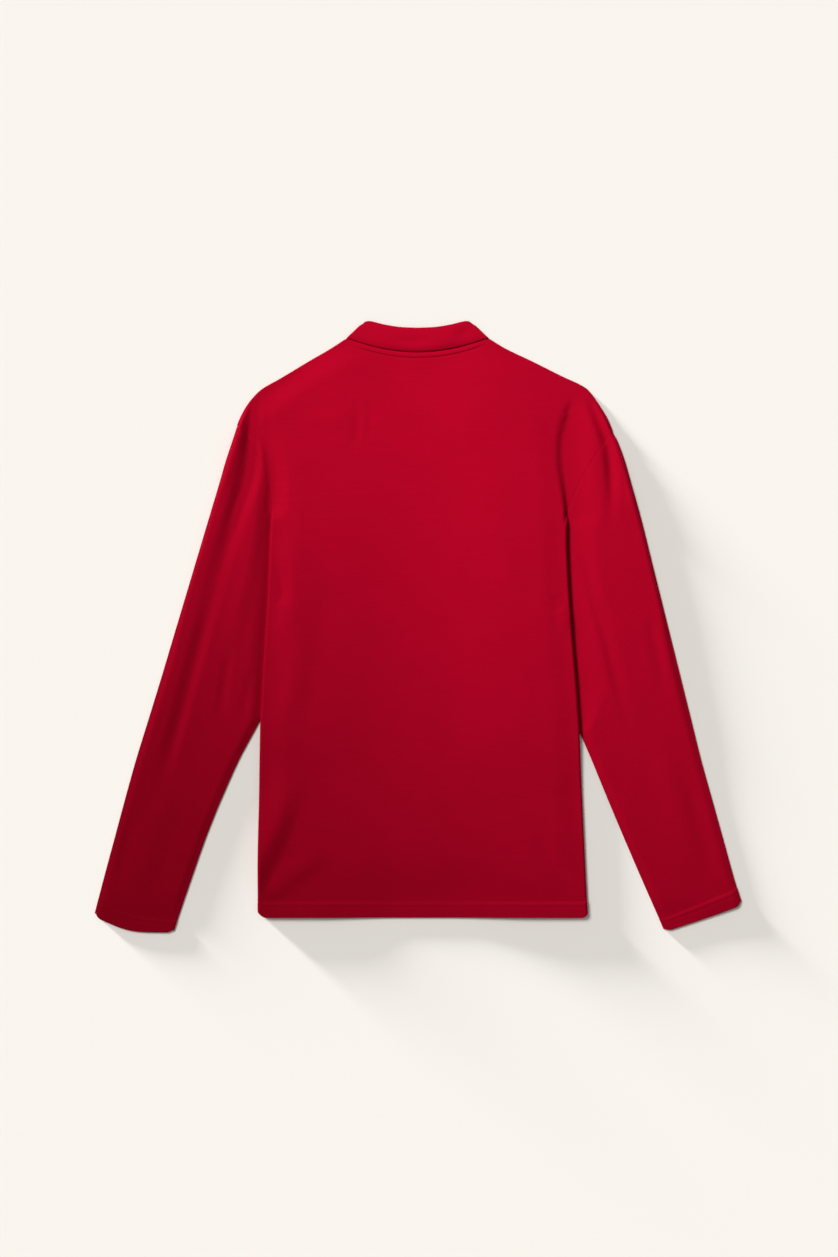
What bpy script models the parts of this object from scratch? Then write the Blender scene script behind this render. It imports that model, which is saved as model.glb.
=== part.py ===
"""A long-sleeve t-shirt with a stand-up rib neckband, laid flat on its front with its back up.

The collar end points to +Y, the wearer's right side to +X, and the cloth rests on the plane Z = 0.
Each side of the body is turned under as far as the armpit, and the inner top of each sleeve is
tucked beneath it. Sizes are in millimetres until the last step, which turns them into metres.
"""

import math
from collections import namedtuple

import bmesh
import bpy

MM = 0.001

# Cloth.
WALL = 1.2
LAYER_GAP = 0.5
PITCH = WALL + LAYER_GAP
SEAM_GAP = 0.5
RIB_WALL = 1.6
RIB_PITCH = RIB_WALL + LAYER_GAP

# Heights of the middle of each layer where the cloth lies flat on the table.
FIRST_LAYER = WALL / 2
SECOND_LAYER = FIRST_LAYER + PITCH
RIB_FIRST_LAYER = RIB_WALL / 2
RIB_SECOND_LAYER = RIB_FIRST_LAYER + RIB_PITCH
NECK_LIFT = RIB_SECOND_LAYER - SECOND_LAYER

# Lengthwise places shared by both sides.
HEM_Y = -364.0
ARMPIT_Y = 36.0
NECK_HALF_WIDTH = 88.0
NECK_CORNER_Y = 359.0
BACK_NECK_DROP = 17.5
FRONT_NECK_DROP = 74.0
BACK_NECK_POWER = 2.0
FRONT_NECK_POWER = 2.2

# Neckband: its top edge narrows to this half width, and its front half follows the deep neckline.
BAND_TOP_HALF_WIDTH = 68.0
BAND_END_Y = 377.0
BAND_FRONT_TOP_DROP = 61.5
BAND_SEAM_GAP = 0.5

# Each layer that lies under another lifts it, and the lift fades over a ramp.
UNDERLAY = 2 * PITCH
RAMP = 20.0
SLEEVE_MARGIN = 8.0
FLAP_MARGIN = 1.0
FORK_RAMP = 24.0
EMERGE_RAMP = 20.0
SHOULDER_LIFT = 2.6

# Fold radii, measured to the middle of the wall.
TURN_RADIUS = 1.5 * PITCH
EDGE_RADIUS = PITCH / 2
EDGE_INSET = 1.8
SHOULDER_LIP = math.radians(36.0)

# Air inside the sleeves and the shoulder points.
PUFF = 2.4
PUFF_START = 4.0
PUFF_RAMP = 13.0

ARMHOLE_TROUGH = 11.0
HEM_CORNER = 11.0
CUFF_CORNER = 10.0
SLEEVE_LENGTH = 560.0

# Red cotton, as linear light.
RED = (0.42, 0.0, 0.016)

Place = namedtuple("Place", "x y")

# The middle of the finished outline, which becomes the origin.
MIDDLE = Place(0.65, -1.25)

Trough = namedtuple("Trough", "spine width depth")
Grid = namedtuple("Grid", "rows flip_from")
Side = namedtuple("Side", "name sign fork_y emerge_y fold armhole tucked shoulder outer inner cuff troughs")

# Shares of a shoulder from its tip to the neck, and of the neck from its middle to its corner.
SHOULDER_STEPS = (0.0, 0.05, 0.11, 0.18, 0.26, 0.34, 0.42, 0.54, 0.7, 0.85, 1.0)
NECK_STEPS = (-1.0, -0.87, -0.64, -0.34, 0.0, 0.34, 0.64, 0.87, 1.0)
FLAP_COLUMNS = 6

# Shares of each stretch up the side of the body.
HEM_TO_FORK = (0.0, 0.05, 0.22, 0.45, 0.68, 0.9, 1.0)
FORK_TO_ARMPIT = (0.15, 0.3, 0.45, 0.6, 0.75, 0.88, 1.0)
ARMPIT_TO_FLAP_TOP = (0.2, 0.45, 0.72, 1.0)
SLEEVE_STEPS = (
    0.0, 0.03, 0.08, 0.15, 0.22, 0.29, 0.36, 0.43, 0.5,
    0.57, 0.64, 0.7, 0.76, 0.81, 0.86, 0.91, 0.955, 1.0,
)
TURN_STEPS = 4
LIP_STEPS = 2

# Top edge of the neckband's back half, from its middle to its rounded corner.
BAND_TOP = (
    Place(0.0, 372.0),
    Place(22.0, 373.0),
    Place(42.0, 376.2),
    Place(54.0, 379.2),
    Place(60.0, 380.3),
    Place(65.0, 379.6),
    Place(68.0, 377.0),
)

# Places are listed up the garment for fold, outer, inner and armhole, and down it for tucked.
# The fold is where the side of the body turns under, and goes on as the trough by the armhole.
RIGHT = Side(
    name="right",
    sign=1.0,
    fork_y=-127.0,
    emerge_y=142.0,
    fold=(
        Place(212.5, -364.0),
        Place(208.0, -268.0),
        Place(204.5, -190.0),
        Place(201.5, -127.0),
        Place(198.0, -42.0),
        Place(195.5, 36.0),
        Place(193.0, 82.0),
        Place(190.0, 142.0),
        Place(186.0, 170.0),
        Place(181.5, 196.0),
        Place(178.5, 214.0),
        Place(177.0, 236.0),
        Place(180.0, 262.0),
        Place(188.0, 290.0),
    ),
    armhole=(
        Place(190.0, 142.0),
        Place(197.0, 163.5),
        Place(207.5, 188.5),
        Place(218.0, 207.0),
        Place(226.5, 220.0),
        Place(234.0, 231.5),
        Place(243.0, 242.5),
    ),
    tucked=(
        Place(182.0, 104.0),
        Place(173.0, 76.0),
        Place(159.0, 51.0),
        Place(139.0, 36.0),
    ),
    shoulder=(
        Place(243.0, 242.5),
        Place(237.0, 257.5),
        Place(228.5, 272.0),
        Place(219.5, 285.5),
        Place(209.5, 297.0),
        Place(178.0, 312.5),
        Place(141.0, 331.0),
        Place(109.5, 346.0),
        Place(88.0, 359.0),
    ),
    outer=(
        Place(406.0, -348.0),
        Place(396.5, -318.0),
        Place(382.5, -268.0),
        Place(368.5, -218.0),
        Place(354.5, -168.0),
        Place(342.0, -118.0),
        Place(329.5, -68.0),
        Place(317.0, -18.0),
        Place(304.5, 32.0),
        Place(292.0, 82.0),
        Place(279.5, 132.0),
        Place(265.5, 182.0),
        Place(258.0, 208.0),
        Place(249.0, 232.0),
        Place(243.0, 242.5),
    ),
    inner=(
        Place(308.5, -382.0),
        Place(302.5, -368.0),
        Place(280.5, -318.0),
        Place(259.0, -268.0),
        Place(238.0, -218.0),
        Place(217.5, -168.0),
        Place(200.0, -127.0),
        Place(174.5, -60.0),
        Place(150.5, 5.0),
        Place(139.0, 36.0),
    ),
    cuff=(Place(308.5, -382.0), Place(358.0, -365.5), Place(406.0, -348.0)),
    troughs=(
        Trough((Place(214, 286), Place(228, 240), Place(235, 190), Place(240, 110)), 11.0, 1.9),
        Trough((Place(202, 60), Place(214, -20), Place(228, -95)), 12.0, 1.2),
    ),
)

LEFT = Side(
    name="left",
    sign=-1.0,
    fork_y=-115.0,
    emerge_y=151.0,
    fold=(
        Place(-199.5, -364.0),
        Place(-199.5, -292.0),
        Place(-198.0, -218.0),
        Place(-197.0, -155.0),
        Place(-196.0, -115.0),
        Place(-192.0, -42.0),
        Place(-187.0, 36.0),
        Place(-184.5, 108.0),
        Place(-182.5, 151.0),
        Place(-182.5, 182.0),
        Place(-184.5, 200.0),
        Place(-188.0, 220.0),
        Place(-193.0, 245.0),
        Place(-196.0, 272.0),
        Place(-196.5, 290.0),
    ),
    armhole=(
        Place(-182.5, 151.0),
        Place(-185.0, 172.0),
        Place(-191.0, 195.0),
        Place(-199.0, 213.5),
        Place(-207.5, 227.5),
        Place(-216.0, 239.5),
        Place(-224.5, 250.0),
    ),
    tucked=(
        Place(-174.0, 110.0),
        Place(-165.0, 80.0),
        Place(-151.0, 53.0),
        Place(-131.0, 36.0),
    ),
    shoulder=(
        Place(-224.5, 250.0),
        Place(-221.5, 258.0),
        Place(-214.5, 271.5),
        Place(-206.5, 283.0),
        Place(-194.5, 295.0),
        Place(-170.5, 309.0),
        Place(-133.0, 331.5),
        Place(-109.5, 345.0),
        Place(-88.0, 359.0),
    ),
    outer=(
        Place(-404.5, -363.0),
        Place(-393.0, -318.0),
        Place(-379.5, -268.0),
        Place(-366.0, -218.0),
        Place(-352.0, -168.0),
        Place(-336.5, -118.0),
        Place(-321.0, -68.0),
        Place(-306.0, -18.0),
        Place(-291.0, 32.0),
        Place(-276.0, 82.0),
        Place(-261.0, 132.0),
        Place(-246.0, 182.0),
        Place(-238.5, 208.0),
        Place(-230.5, 232.0),
        Place(-224.5, 250.0),
    ),
    inner=(
        Place(-305.0, -383.0),
        Place(-300.0, -368.0),
        Place(-283.0, -318.0),
        Place(-265.5, -268.0),
        Place(-253.0, -236.0),
        Place(-245.5, -218.0),
        Place(-223.0, -168.0),
        Place(-195.0, -115.0),
        Place(-170.0, -55.0),
        Place(-144.0, 5.0),
        Place(-131.0, 36.0),
    ),
    cuff=(Place(-404.5, -363.0), Place(-360.0, -380.0), Place(-305.0, -383.0)),
    troughs=(
        Trough(
            (Place(-222, 252), Place(-219, 215), Place(-236, 150), Place(-262, 60), Place(-303, -80)), 13.0, 2.2
        ),
        Trough((Place(-236, 30), Place(-243, -70)), 12.0, 0.9),
    ),
)

SIDES = (LEFT, RIGHT)


def fade(value, full, none):
    """1 up to `full`, 0 from `none` on, and a smooth step between them."""
    share = min(1.0, max(0.0, (value - full) / (none - full)))
    return 1.0 - share * share * (3.0 - 2.0 * share)


def curve(places, at, key="y", want="x"):
    """Reads `want` at `at` from places sorted by `key`, on a smooth curve through them."""
    keys = [getattr(place, key) for place in places]
    values = [getattr(place, want) for place in places]
    at = min(max(at, keys[0]), keys[-1])
    spot = max(i for i in range(len(keys) - 1) if keys[i] <= at)

    def slope(i):
        low, high = max(i - 1, 0), min(i + 1, len(keys) - 1)
        return (values[high] - values[low]) / (keys[high] - keys[low])

    span = keys[spot + 1] - keys[spot]
    t = (at - keys[spot]) / span
    start = (2 * t**3 - 3 * t**2 + 1) * values[spot] + (t**3 - 2 * t**2 + t) * span * slope(spot)
    end = (3 * t**2 - 2 * t**3) * values[spot + 1] + (t**3 - t**2) * span * slope(spot + 1)
    return start + end


def mix(a, b, share):
    """The place that lies `share` of the way from a to b."""
    return Place(a.x + (b.x - a.x) * share, a.y + (b.y - a.y) * share)


def towards(a, b, length):
    """The place that lies `length` from a on the way to b."""
    return mix(a, b, length / math.hypot(b.x - a.x, b.y - a.y))


def distance_to(spine, x, y):
    """How far a point of the plan is from a line of places."""
    best = math.inf
    for a, b in zip(spine, spine[1:]):
        dx, dy = b.x - a.x, b.y - a.y
        share = ((x - a.x) * dx + (y - a.y) * dy) / (dx * dx + dy * dy)
        share = min(1.0, max(0.0, share))
        best = min(best, math.hypot(x - a.x - dx * share, y - a.y - dy * share))
    return best


def corner_rise(radius, depth):
    """How far a rounded corner rises from a straight edge, `depth` in from the corner's side."""
    short = max(0.0, radius - depth)
    return radius - math.sqrt(radius * radius - short * short)


def inward(side, x, y):
    """How far a point lies inside the fold down the body's side, negative out on the sleeve."""
    return side.sign * (curve(side.fold, y) - x)


def tuck_depth(side, y):
    """How far in from the fold the tucked sleeve reaches at this height."""
    if y <= ARMPIT_Y:
        return max(0.0, inward(side, curve(side.inner, y), y))
    top = side.emerge_y - EMERGE_RAMP
    places = side.tucked[::-1] + (Place(curve(side.fold, top), top),)
    return max(0.0, inward(side, curve(places, y), y))


def flap_depth(side, y):
    """How far in from the fold the turned-under side of the body reaches at this height."""
    inset = TURN_RADIUS + WALL / 2
    span = abs(side.shoulder[0].x) - NECK_HALF_WIDTH
    share = SHOULDER_STEPS[FLAP_COLUMNS] * span / (RIGHT.shoulder[0].x - LEFT.shoulder[0].x)
    depth = inset + share * (curve(RIGHT.fold, y) - curve(LEFT.fold, y) - 2 * inset)
    return min(depth, tuck_depth(side, y)) if y > ARMPIT_Y else depth


def flap_top(side):
    """Y of the last row that has a turned-under side."""
    return side.emerge_y - 2 * EMERGE_RAMP


def sleeve_lift(side, x, y):
    """How far the tucked sleeve lifts the layers over it."""
    along = fade(-y, -side.fork_y, FORK_RAMP - side.fork_y)
    along *= fade(y, side.emerge_y - EMERGE_RAMP, side.emerge_y)
    reach = tuck_depth(side, y) + SLEEVE_MARGIN
    return UNDERLAY * along * fade(inward(side, x, y), reach, reach + RAMP)


def flap_lift(side, x, y):
    """How far the turned-under side lifts the layers over it."""
    along = fade(y, flap_top(side), flap_top(side) + EMERGE_RAMP)
    reach = flap_depth(side, y) + FLAP_MARGIN
    return UNDERLAY * along * fade(inward(side, x, y), reach, reach + RAMP)


def crease(side, x, y):
    """1 along the trough that goes on from the fold up to the shoulder, and 0 away from it."""
    along = fade(-y, -side.emerge_y, EMERGE_RAMP - side.emerge_y) * fade(y, 215.0, 288.0)
    return along * fade(abs(inward(side, x, y)), 0.0, ARMHOLE_TROUGH)


def puff(side, x, y):
    """Air under the upper layer of a sleeve or shoulder point, less its long folds."""
    inner_x = curve(side.inner, y) if y < side.fork_y else curve(side.fold, y)
    outline = side.outer if y <= side.outer[-1].y else side.shoulder[:5]
    height = PUFF * fade(y, 250.0, 294.0) * fade(-y, 330.0, 372.0)
    for depth in (side.sign * (x - inner_x), side.sign * (curve(outline, y) - x)):
        height *= 1.0 - fade(depth, PUFF_START, PUFF_START + PUFF_RAMP)
    for trough in side.troughs:
        height -= trough.depth * fade(distance_to(trough.spine, x, y), 0.0, trough.width)
    return max(0.0, height) * (1.0 - crease(side, x, y))


def back_height(x, y):
    """Height of the middle of the back panel's wall."""
    height = SECOND_LAYER + NECK_LIFT * fade(abs(x), 92.0, 130.0) * fade(-y, -270.0, -230.0)
    for side in SIDES:
        depth = inward(side, x, y)
        if depth < 0.0:
            height += puff(side, x, y)
            continue
        lift = sleeve_lift(side, x, y) + flap_lift(side, x, y)
        if y > side.emerge_y - EMERGE_RAMP:
            lift = max(lift, SHOULDER_LIFT * fade(y, side.emerge_y, 285.0) * fade(depth, 12.0, 70.0))
        height += lift * (1.0 - crease(side, x, y))
    return height


def front_height(x, y):
    """Height of the middle of the front panel's wall, under the back panel's."""
    lift = sum(sleeve_lift(side, x, y) + flap_lift(side, x, y) for side in SIDES if inward(side, x, y) > 0)
    return min(FIRST_LAYER + lift, back_height(x, y) - PITCH)


def sleeve_height(side, x, y):
    """Height of the middle of a sleeve's upper layer, flat where it is tucked under the body."""
    if inward(side, x, y) > 0.0 and y > side.fork_y:
        return SECOND_LAYER
    return SECOND_LAYER + puff(side, x, y)


def shoulder_y(x):
    """Y of the top outline over one shoulder."""
    side = RIGHT if x > 0 else LEFT
    return curve(sorted(side.shoulder), x, key="x", want="y")


def neck_y(x, drop, power):
    """Y of the neck seam, which drops by `drop` at the middle."""
    return NECK_CORNER_Y - drop * (1.0 - abs(x / NECK_HALF_WIDTH) ** power)


def top_xs():
    """X of each column of the body panels at the top, from the left shoulder's tip to the right's."""
    left = [LEFT.shoulder[0].x * (1 - f) - NECK_HALF_WIDTH * f for f in SHOULDER_STEPS]
    neck = [NECK_HALF_WIDTH * f for f in NECK_STEPS]
    right = [RIGHT.shoulder[0].x * (1 - f) + NECK_HALF_WIDTH * f for f in reversed(SHOULDER_STEPS)]
    return left + neck[1:-1] + right


def stations(side):
    """Y of each row whose side is folded, from the hem to where the sleeve emerges."""
    rows = [HEM_Y + (side.fork_y - HEM_Y) * f for f in HEM_TO_FORK]
    rows += [side.fork_y + (ARMPIT_Y - side.fork_y) * f for f in FORK_TO_ARMPIT]
    rows += [ARMPIT_Y + (flap_top(side) - ARMPIT_Y) * f for f in ARMPIT_TO_FLAP_TOP]
    return rows + [side.emerge_y - EMERGE_RAMP, side.emerge_y]


def boundary(side):
    """Side boundary of the body panels: up the fold, then along the armhole to the shoulder's tip."""
    inset = side.sign * (TURN_RADIUS + WALL / 2)
    return [Place(curve(side.fold, y) - inset, y) for y in stations(side)[:-1]] + list(side.armhole)


def body_plan(neck_drop, neck_power):
    """Rows of places for a body panel, from the hem to the shoulders and neck."""
    xs = top_xs()
    shares = [(x - xs[0]) / (xs[-1] - xs[0]) for x in xs]
    neck = [neck_y(x, neck_drop, neck_power) if abs(x) <= NECK_HALF_WIDTH else shoulder_y(x) for x in xs]
    left, right = boundary(LEFT), boundary(RIGHT)
    bowed_from = len(stations(LEFT)) - 3
    rows = []
    for j, (a, b) in enumerate(zip(left, right)):
        bow = max(0.0, (j - bowed_from) / (len(left) - 1 - bowed_from))
        row = []
        for top_y, share in zip(neck, shares):
            base = mix(a, b, share)
            row.append(Place(base.x, base.y + bow * (top_y - mix(left[-1], right[-1], share).y)))
        rows.append(row)
    corners = [[corner_rise(HEM_CORNER, inward(side, p.x, p.y)) for side in SIDES] for p in rows[0]]
    rows[0] = [Place(p.x, p.y + sum(rise)) for p, rise in zip(rows[0], corners)]
    return rows


def raised(plan, height):
    """Points over the places of a plan."""
    return [[(p.x, p.y, height(p.x, p.y)) for p in row] for row in plan]


def turn(start, outward, radius, angle, steps=TURN_STEPS):
    """Points of a fold that leaves a flat layer at `start` and curls down through `angle`."""
    x, y, z = start
    points = []
    for k in range(steps + 1):
        out = radius * math.sin(angle * k / steps)
        down = radius * (1 - math.cos(angle * k / steps))
        points.append((x + outward[0] * out, y + outward[1] * out, z - down))
    return points


def turned_side(side, sheet, radius, lip):
    """The fold down the body's side and the flap it turns under, which narrows above the armpit.

    With `lip`, the first half of the fold runs on past the flap to where the sleeve emerges.
    """
    folds, lips, flap = [], [], []
    for row, y in zip(sheet, stations(side)):
        edge = row if side.sign < 0 else row[::-1]
        out = radius if y < side.emerge_y else 0.0
        fold = turn(edge[0], (side.sign, 0.0), out, math.pi)
        lips.append(fold[: TURN_STEPS // 2 + 1])
        if y > flap_top(side):
            continue
        folds.append(fold[TURN_STEPS // 2 :] if lip else fold)
        near = [p for p in edge[: FLAP_COLUMNS + 1] if inward(side, p[0], y) <= flap_depth(side, y) + 0.5]
        flap.append([(x, y_at, z - 2 * radius) for x, y_at, z in near])
    grids = [Grid(folds, 0), Grid(flap, len(flap[0]))]
    return grids + [Grid(lips, 0)] if lip else grids


def shoulder_lip(edge, way):
    """The lip that a panel's shoulder edge makes towards the shoulder seam, down for way 1."""
    lip = []
    for i, (x, y, z) in enumerate(edge):
        a, b = edge[max(i - 1, 0)], edge[min(i + 1, len(edge) - 1)]
        length = math.hypot(b[0] - a[0], b[1] - a[1])
        outward = ((a[1] - b[1]) / length, (b[0] - a[0]) / length)
        points = turn((x, y, 0.0), outward, EDGE_RADIUS, SHOULDER_LIP, LIP_STEPS)
        lip.append([(px, py, z + way * pz) for px, py, pz in points])
    return Grid(lip, 0)


def placed(point):
    """A point in metres from the origin."""
    x, y, z = point
    return ((x - MIDDLE.x) * MM, (y - MIDDLE.y) * MM, z * MM)


def add_grid(mesh, grid):
    """Adds pairs of triangles through rows of points, each row as long as the one before or shorter.

    From column `flip_from` on the pairs lean the other way, so the two halves of a panel mirror each
    other and sheets on one plan stay apart.
    """
    made = [[mesh.verts.new(placed(point)) for point in row] for row in grid.rows]
    for low, high in zip(made, made[1:]):
        for i in range(len(low) - 1):
            if i >= len(high) - 1:
                mesh.faces.new((low[i], low[i + 1], high[-1]))
            elif i < grid.flip_from:
                mesh.faces.new((low[i], low[i + 1], high[i]))
                mesh.faces.new((low[i + 1], high[i + 1], high[i]))
            else:
                mesh.faces.new((low[i], low[i + 1], high[i + 1]))
                mesh.faces.new((low[i], high[i + 1], high[i]))


def material(name):
    """Matte red cotton."""
    made = bpy.data.materials.new(name)
    made.use_nodes = True
    surface = made.node_tree.nodes["Principled BSDF"]
    surface.inputs["Base Color"].default_value = (*RED, 1.0)
    surface.inputs["Roughness"].default_value = 0.88
    surface.inputs["Metallic"].default_value = 0.0
    return made


def cloth(name, grids, wall, finish):
    """One cloth piece: its grids joined into a sheet, with half the wall on each side of it."""
    mesh = bmesh.new()
    for grid in grids:
        add_grid(mesh, grid)
    bmesh.ops.remove_doubles(mesh, verts=mesh.verts, dist=1e-6)
    bmesh.ops.recalc_face_normals(mesh, faces=mesh.faces)
    data = bpy.data.meshes.new(name)
    mesh.to_mesh(data)
    mesh.free()
    data.shade_smooth()
    data.materials.append(material(finish))
    piece = bpy.data.objects.new(name, data)
    bpy.context.scene.collection.objects.link(piece)
    thicken = piece.modifiers.new("wall", "SOLIDIFY")
    thicken.thickness = wall * MM
    thicken.offset = 0.0
    thicken.use_even_offset = True
    return piece


def body_panel(name, plan, height, radius, lip, way):
    """A front or back panel with its turned-under sides and the lips of its shoulder edges."""
    sheet = raised(plan, height)
    middle = (len(sheet[0]) - 1) // 2
    grids = [Grid(sheet, middle)]
    for side in SIDES:
        grids += turned_side(side, sheet, radius, lip)
    count = len(SHOULDER_STEPS)
    grids.append(shoulder_lip(sheet[-1][:count], way))
    grids.append(shoulder_lip(sheet[-1][-count:], way))
    return cloth(name, grids, WALL, "jersey_" + name)


def sleeve_end(side):
    """Places along a sleeve's upper end: down the armhole seam, then under the body to the armpit."""
    seam = []
    for i, place in enumerate(side.armhole):
        a = side.armhole[max(i - 1, 0)]
        b = side.armhole[min(i + 1, len(side.armhole) - 1)]
        scale = side.sign * SEAM_GAP / math.hypot(b.x - a.x, b.y - a.y)
        seam.append(Place(place.x + (b.y - a.y) * scale, place.y - (b.x - a.x) * scale))
    top = side.emerge_y - EMERGE_RAMP
    return seam[::-1] + [Place(curve(side.fold, top) + side.sign * SEAM_GAP, top)] + list(side.tucked)


def sleeve_plan(side):
    """Rows of places for both layers of a sleeve, from the cuff to the armhole."""
    end = sleeve_end(side)
    cuff = sorted(side.cuff)
    cuff_out, cuff_in = (cuff[-1], cuff[0]) if side.sign > 0 else (cuff[0], cuff[-1])
    last = len(end) - 1

    def place(v, i):
        u = i / last
        out_y = cuff_out.y + (end[0].y - cuff_out.y) * v
        in_y = cuff_in.y + (end[-1].y - cuff_in.y) * v
        straight = mix(Place(curve(side.outer, out_y), out_y), Place(curve(side.inner, in_y), in_y), u)
        x = cuff_out.x + (cuff_in.x - cuff_out.x) * u
        sag = curve(cuff, x, key="x", want="y") - mix(cuff_out, cuff_in, u).y
        top = mix(end[0], end[-1], u)
        return Place(
            straight.x + (end[i].x - top.x) * v**3,
            straight.y + (end[i].y - top.y) * v**3 + sag * (1 - v) ** 3,
        )

    width = math.hypot(cuff_out.x - cuff_in.x, cuff_out.y - cuff_in.y)
    rows = []
    for v in SLEEVE_STEPS:
        row = [place(v, i) for i in range(last + 1)]
        if v == 0.0:
            depths = [max(EDGE_INSET, min(i, last - i) * width / last) for i in range(last + 1)]
            row = [place(corner_rise(CUFF_CORNER, depth) / SLEEVE_LENGTH, i) for i, depth in enumerate(depths)]
        row[0] = towards(row[0], row[1], EDGE_INSET)
        row[-1] = towards(row[-1], row[-2], EDGE_INSET)
        rows.append(row)
    return rows


def sleeve(side):
    """A sleeve: its upper and lower layers, joined by a rolled edge along each side."""
    plan = sleeve_plan(side)
    upper = raised(plan, lambda x, y: sleeve_height(side, x, y))
    outer = [turn(row[0], (side.sign, 0.0), EDGE_RADIUS, math.pi) for row in upper]
    inner = [turn(row[-1], (-side.sign, 0.0), EDGE_RADIUS, math.pi) for row in upper]
    lower = raised(plan, lambda x, y: FIRST_LAYER)
    for row, out, across in zip(lower, outer, inner):
        row[0] = out[-1]
        row[-1] = across[-1]
    half = len(plan[0]) // 2
    grids = [Grid(upper, half), Grid(lower, half), Grid(outer, 0), Grid(inner, 0)]
    return cloth("sleeve_" + side.name, grids, WALL, "jersey_sleeve_" + side.name)


def band_half(drop, power, top_y, layer):
    """One flat half of the neckband, from its left end to its right, as columns of points."""
    columns = []
    for t in NECK_STEPS:
        x = NECK_HALF_WIDTH * t
        slope = drop * power * abs(t) ** (power - 1) * math.copysign(1.0, t) / NECK_HALF_WIDTH
        scale = BAND_SEAM_GAP / math.hypot(1.0, slope)
        low = Place(x - slope * scale, neck_y(x, drop, power) + scale)
        if abs(t) == 1.0:
            low = Place(x, NECK_CORNER_Y + 2 * BAND_SEAM_GAP)
        high = Place(BAND_TOP_HALF_WIDTH * t, top_y(t))
        columns.append([(p.x, p.y, layer) for p in (low, mix(low, high, 0.5), high)])
    return columns


def band_end(column, way):
    """Columns of the fold at one end of the neckband, from its back half down to its front half."""
    low, high = column[0], column[-1]
    length = math.hypot(high[0] - low[0], high[1] - low[1])
    outward = (way * (high[1] - low[1]) / length, -way * (high[0] - low[0]) / length)
    bend = [turn(point, outward, RIB_PITCH / 2, math.pi) for point in column]
    return [list(points) for points in zip(*bend)]


def neck_band():
    """The neckband: a closed ring of doubled rib, flattened, with its front half the lower."""
    back = band_half(
        BACK_NECK_DROP,
        BACK_NECK_POWER,
        lambda t: curve(BAND_TOP, abs(t) * BAND_TOP_HALF_WIDTH, key="x", want="y"),
        RIB_SECOND_LAYER,
    )
    front = band_half(
        FRONT_NECK_DROP,
        FRONT_NECK_POWER,
        lambda t: BAND_END_Y - BAND_FRONT_TOP_DROP * (1 - abs(t) ** FRONT_NECK_POWER),
        RIB_FIRST_LAYER,
    )
    ring = list(back)
    ring += band_end(back[-1], 1.0)[1:-1]
    ring += front[::-1]
    ring += band_end(back[0], -1.0)[-2::-1]
    return cloth("neck_band", [Grid(ring, 0)], RIB_WALL, "rib_neck_band")


def main():
    """Builds the garment in an emptied scene."""
    for old in list(bpy.data.objects):
        bpy.data.objects.remove(old)
    back_plan = body_plan(BACK_NECK_DROP, BACK_NECK_POWER)
    front_plan = body_plan(FRONT_NECK_DROP, FRONT_NECK_POWER)
    body_panel("back_panel", back_plan, back_height, TURN_RADIUS, lip=True, way=1.0)
    body_panel("front_panel", front_plan, front_height, EDGE_RADIUS, lip=False, way=-1.0)
    for side in SIDES:
        sleeve(side)
    neck_band()


main()
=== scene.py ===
"""A long-sleeve t-shirt with a stand-up rib neckband, laid flat with its back up, as it looks.

The classes work in millimetres on the plan of the laid garment, with the collar end towards +Y
and the wearer's right side towards +X. A mesh is turned into metres when it is made.
"""

import logging
import math
from dataclasses import dataclass, field
from enum import Enum
from typing import Callable, NamedTuple

import bmesh
import bpy
import numpy as np
from mathutils import Matrix, Vector


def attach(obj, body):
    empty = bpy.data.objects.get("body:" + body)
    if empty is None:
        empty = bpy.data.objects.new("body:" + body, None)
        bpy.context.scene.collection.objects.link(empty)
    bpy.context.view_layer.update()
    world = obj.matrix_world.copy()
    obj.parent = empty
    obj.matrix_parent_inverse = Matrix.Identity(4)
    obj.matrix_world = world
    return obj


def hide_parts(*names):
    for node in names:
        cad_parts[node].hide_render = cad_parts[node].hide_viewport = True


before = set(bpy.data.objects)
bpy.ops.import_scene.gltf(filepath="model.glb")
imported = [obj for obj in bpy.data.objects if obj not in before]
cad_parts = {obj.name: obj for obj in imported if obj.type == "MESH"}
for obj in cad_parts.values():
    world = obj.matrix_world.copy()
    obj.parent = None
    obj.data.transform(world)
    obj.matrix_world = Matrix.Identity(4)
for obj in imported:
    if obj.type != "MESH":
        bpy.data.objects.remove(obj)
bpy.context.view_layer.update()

LOG = logging.getLogger("t_shirt")
MM = 0.001
Array = np.ndarray

# Cloth walls, and the pitch between the middles of two layers that lie on each other.
WALL = 1.2
PITCH = 1.7
RIB_WALL = 1.6
RIB_PITCH = 2.1
FIRST_LAYER = 0.6
SECOND_LAYER = FIRST_LAYER + PITCH
RIB_FIRST_LAYER = 0.8
RIB_SECOND_LAYER = RIB_FIRST_LAYER + RIB_PITCH
NECK_LIFT = RIB_SECOND_LAYER - SECOND_LAYER

# Lengthwise places of the body.
HEM_Y = -364.0
ARMPIT_Y = 36.0
NECK_HALF_WIDTH = 88.0
NECK_CORNER_Y = 359.0


class Place(NamedTuple):
    """A place on the plan."""

    x: float
    y: float


Places = tuple[Place, ...]

# The middle of the garment's outline on the plan, which the frame has as its origin.
MIDDLE = Place(0.65, -1.25)


def places(*numbers: float) -> Places:
    """Places from x and y in turn."""
    return tuple(Place(x, y) for x, y in zip(numbers[::2], numbers[1::2]))


def fade(value: Array | float, full: Array | float, none: Array | float) -> Array:
    """A smooth step down.

    Args:
        value: where it is read.
        full: up to here it is 1.
        none: from here on it is 0.

    Returns:
        A number from 0 to 1 for each value.
    """
    share = np.clip((value - full) / (none - full), 0.0, 1.0)
    return 1.0 - share * share * (3.0 - 2.0 * share)


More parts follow.
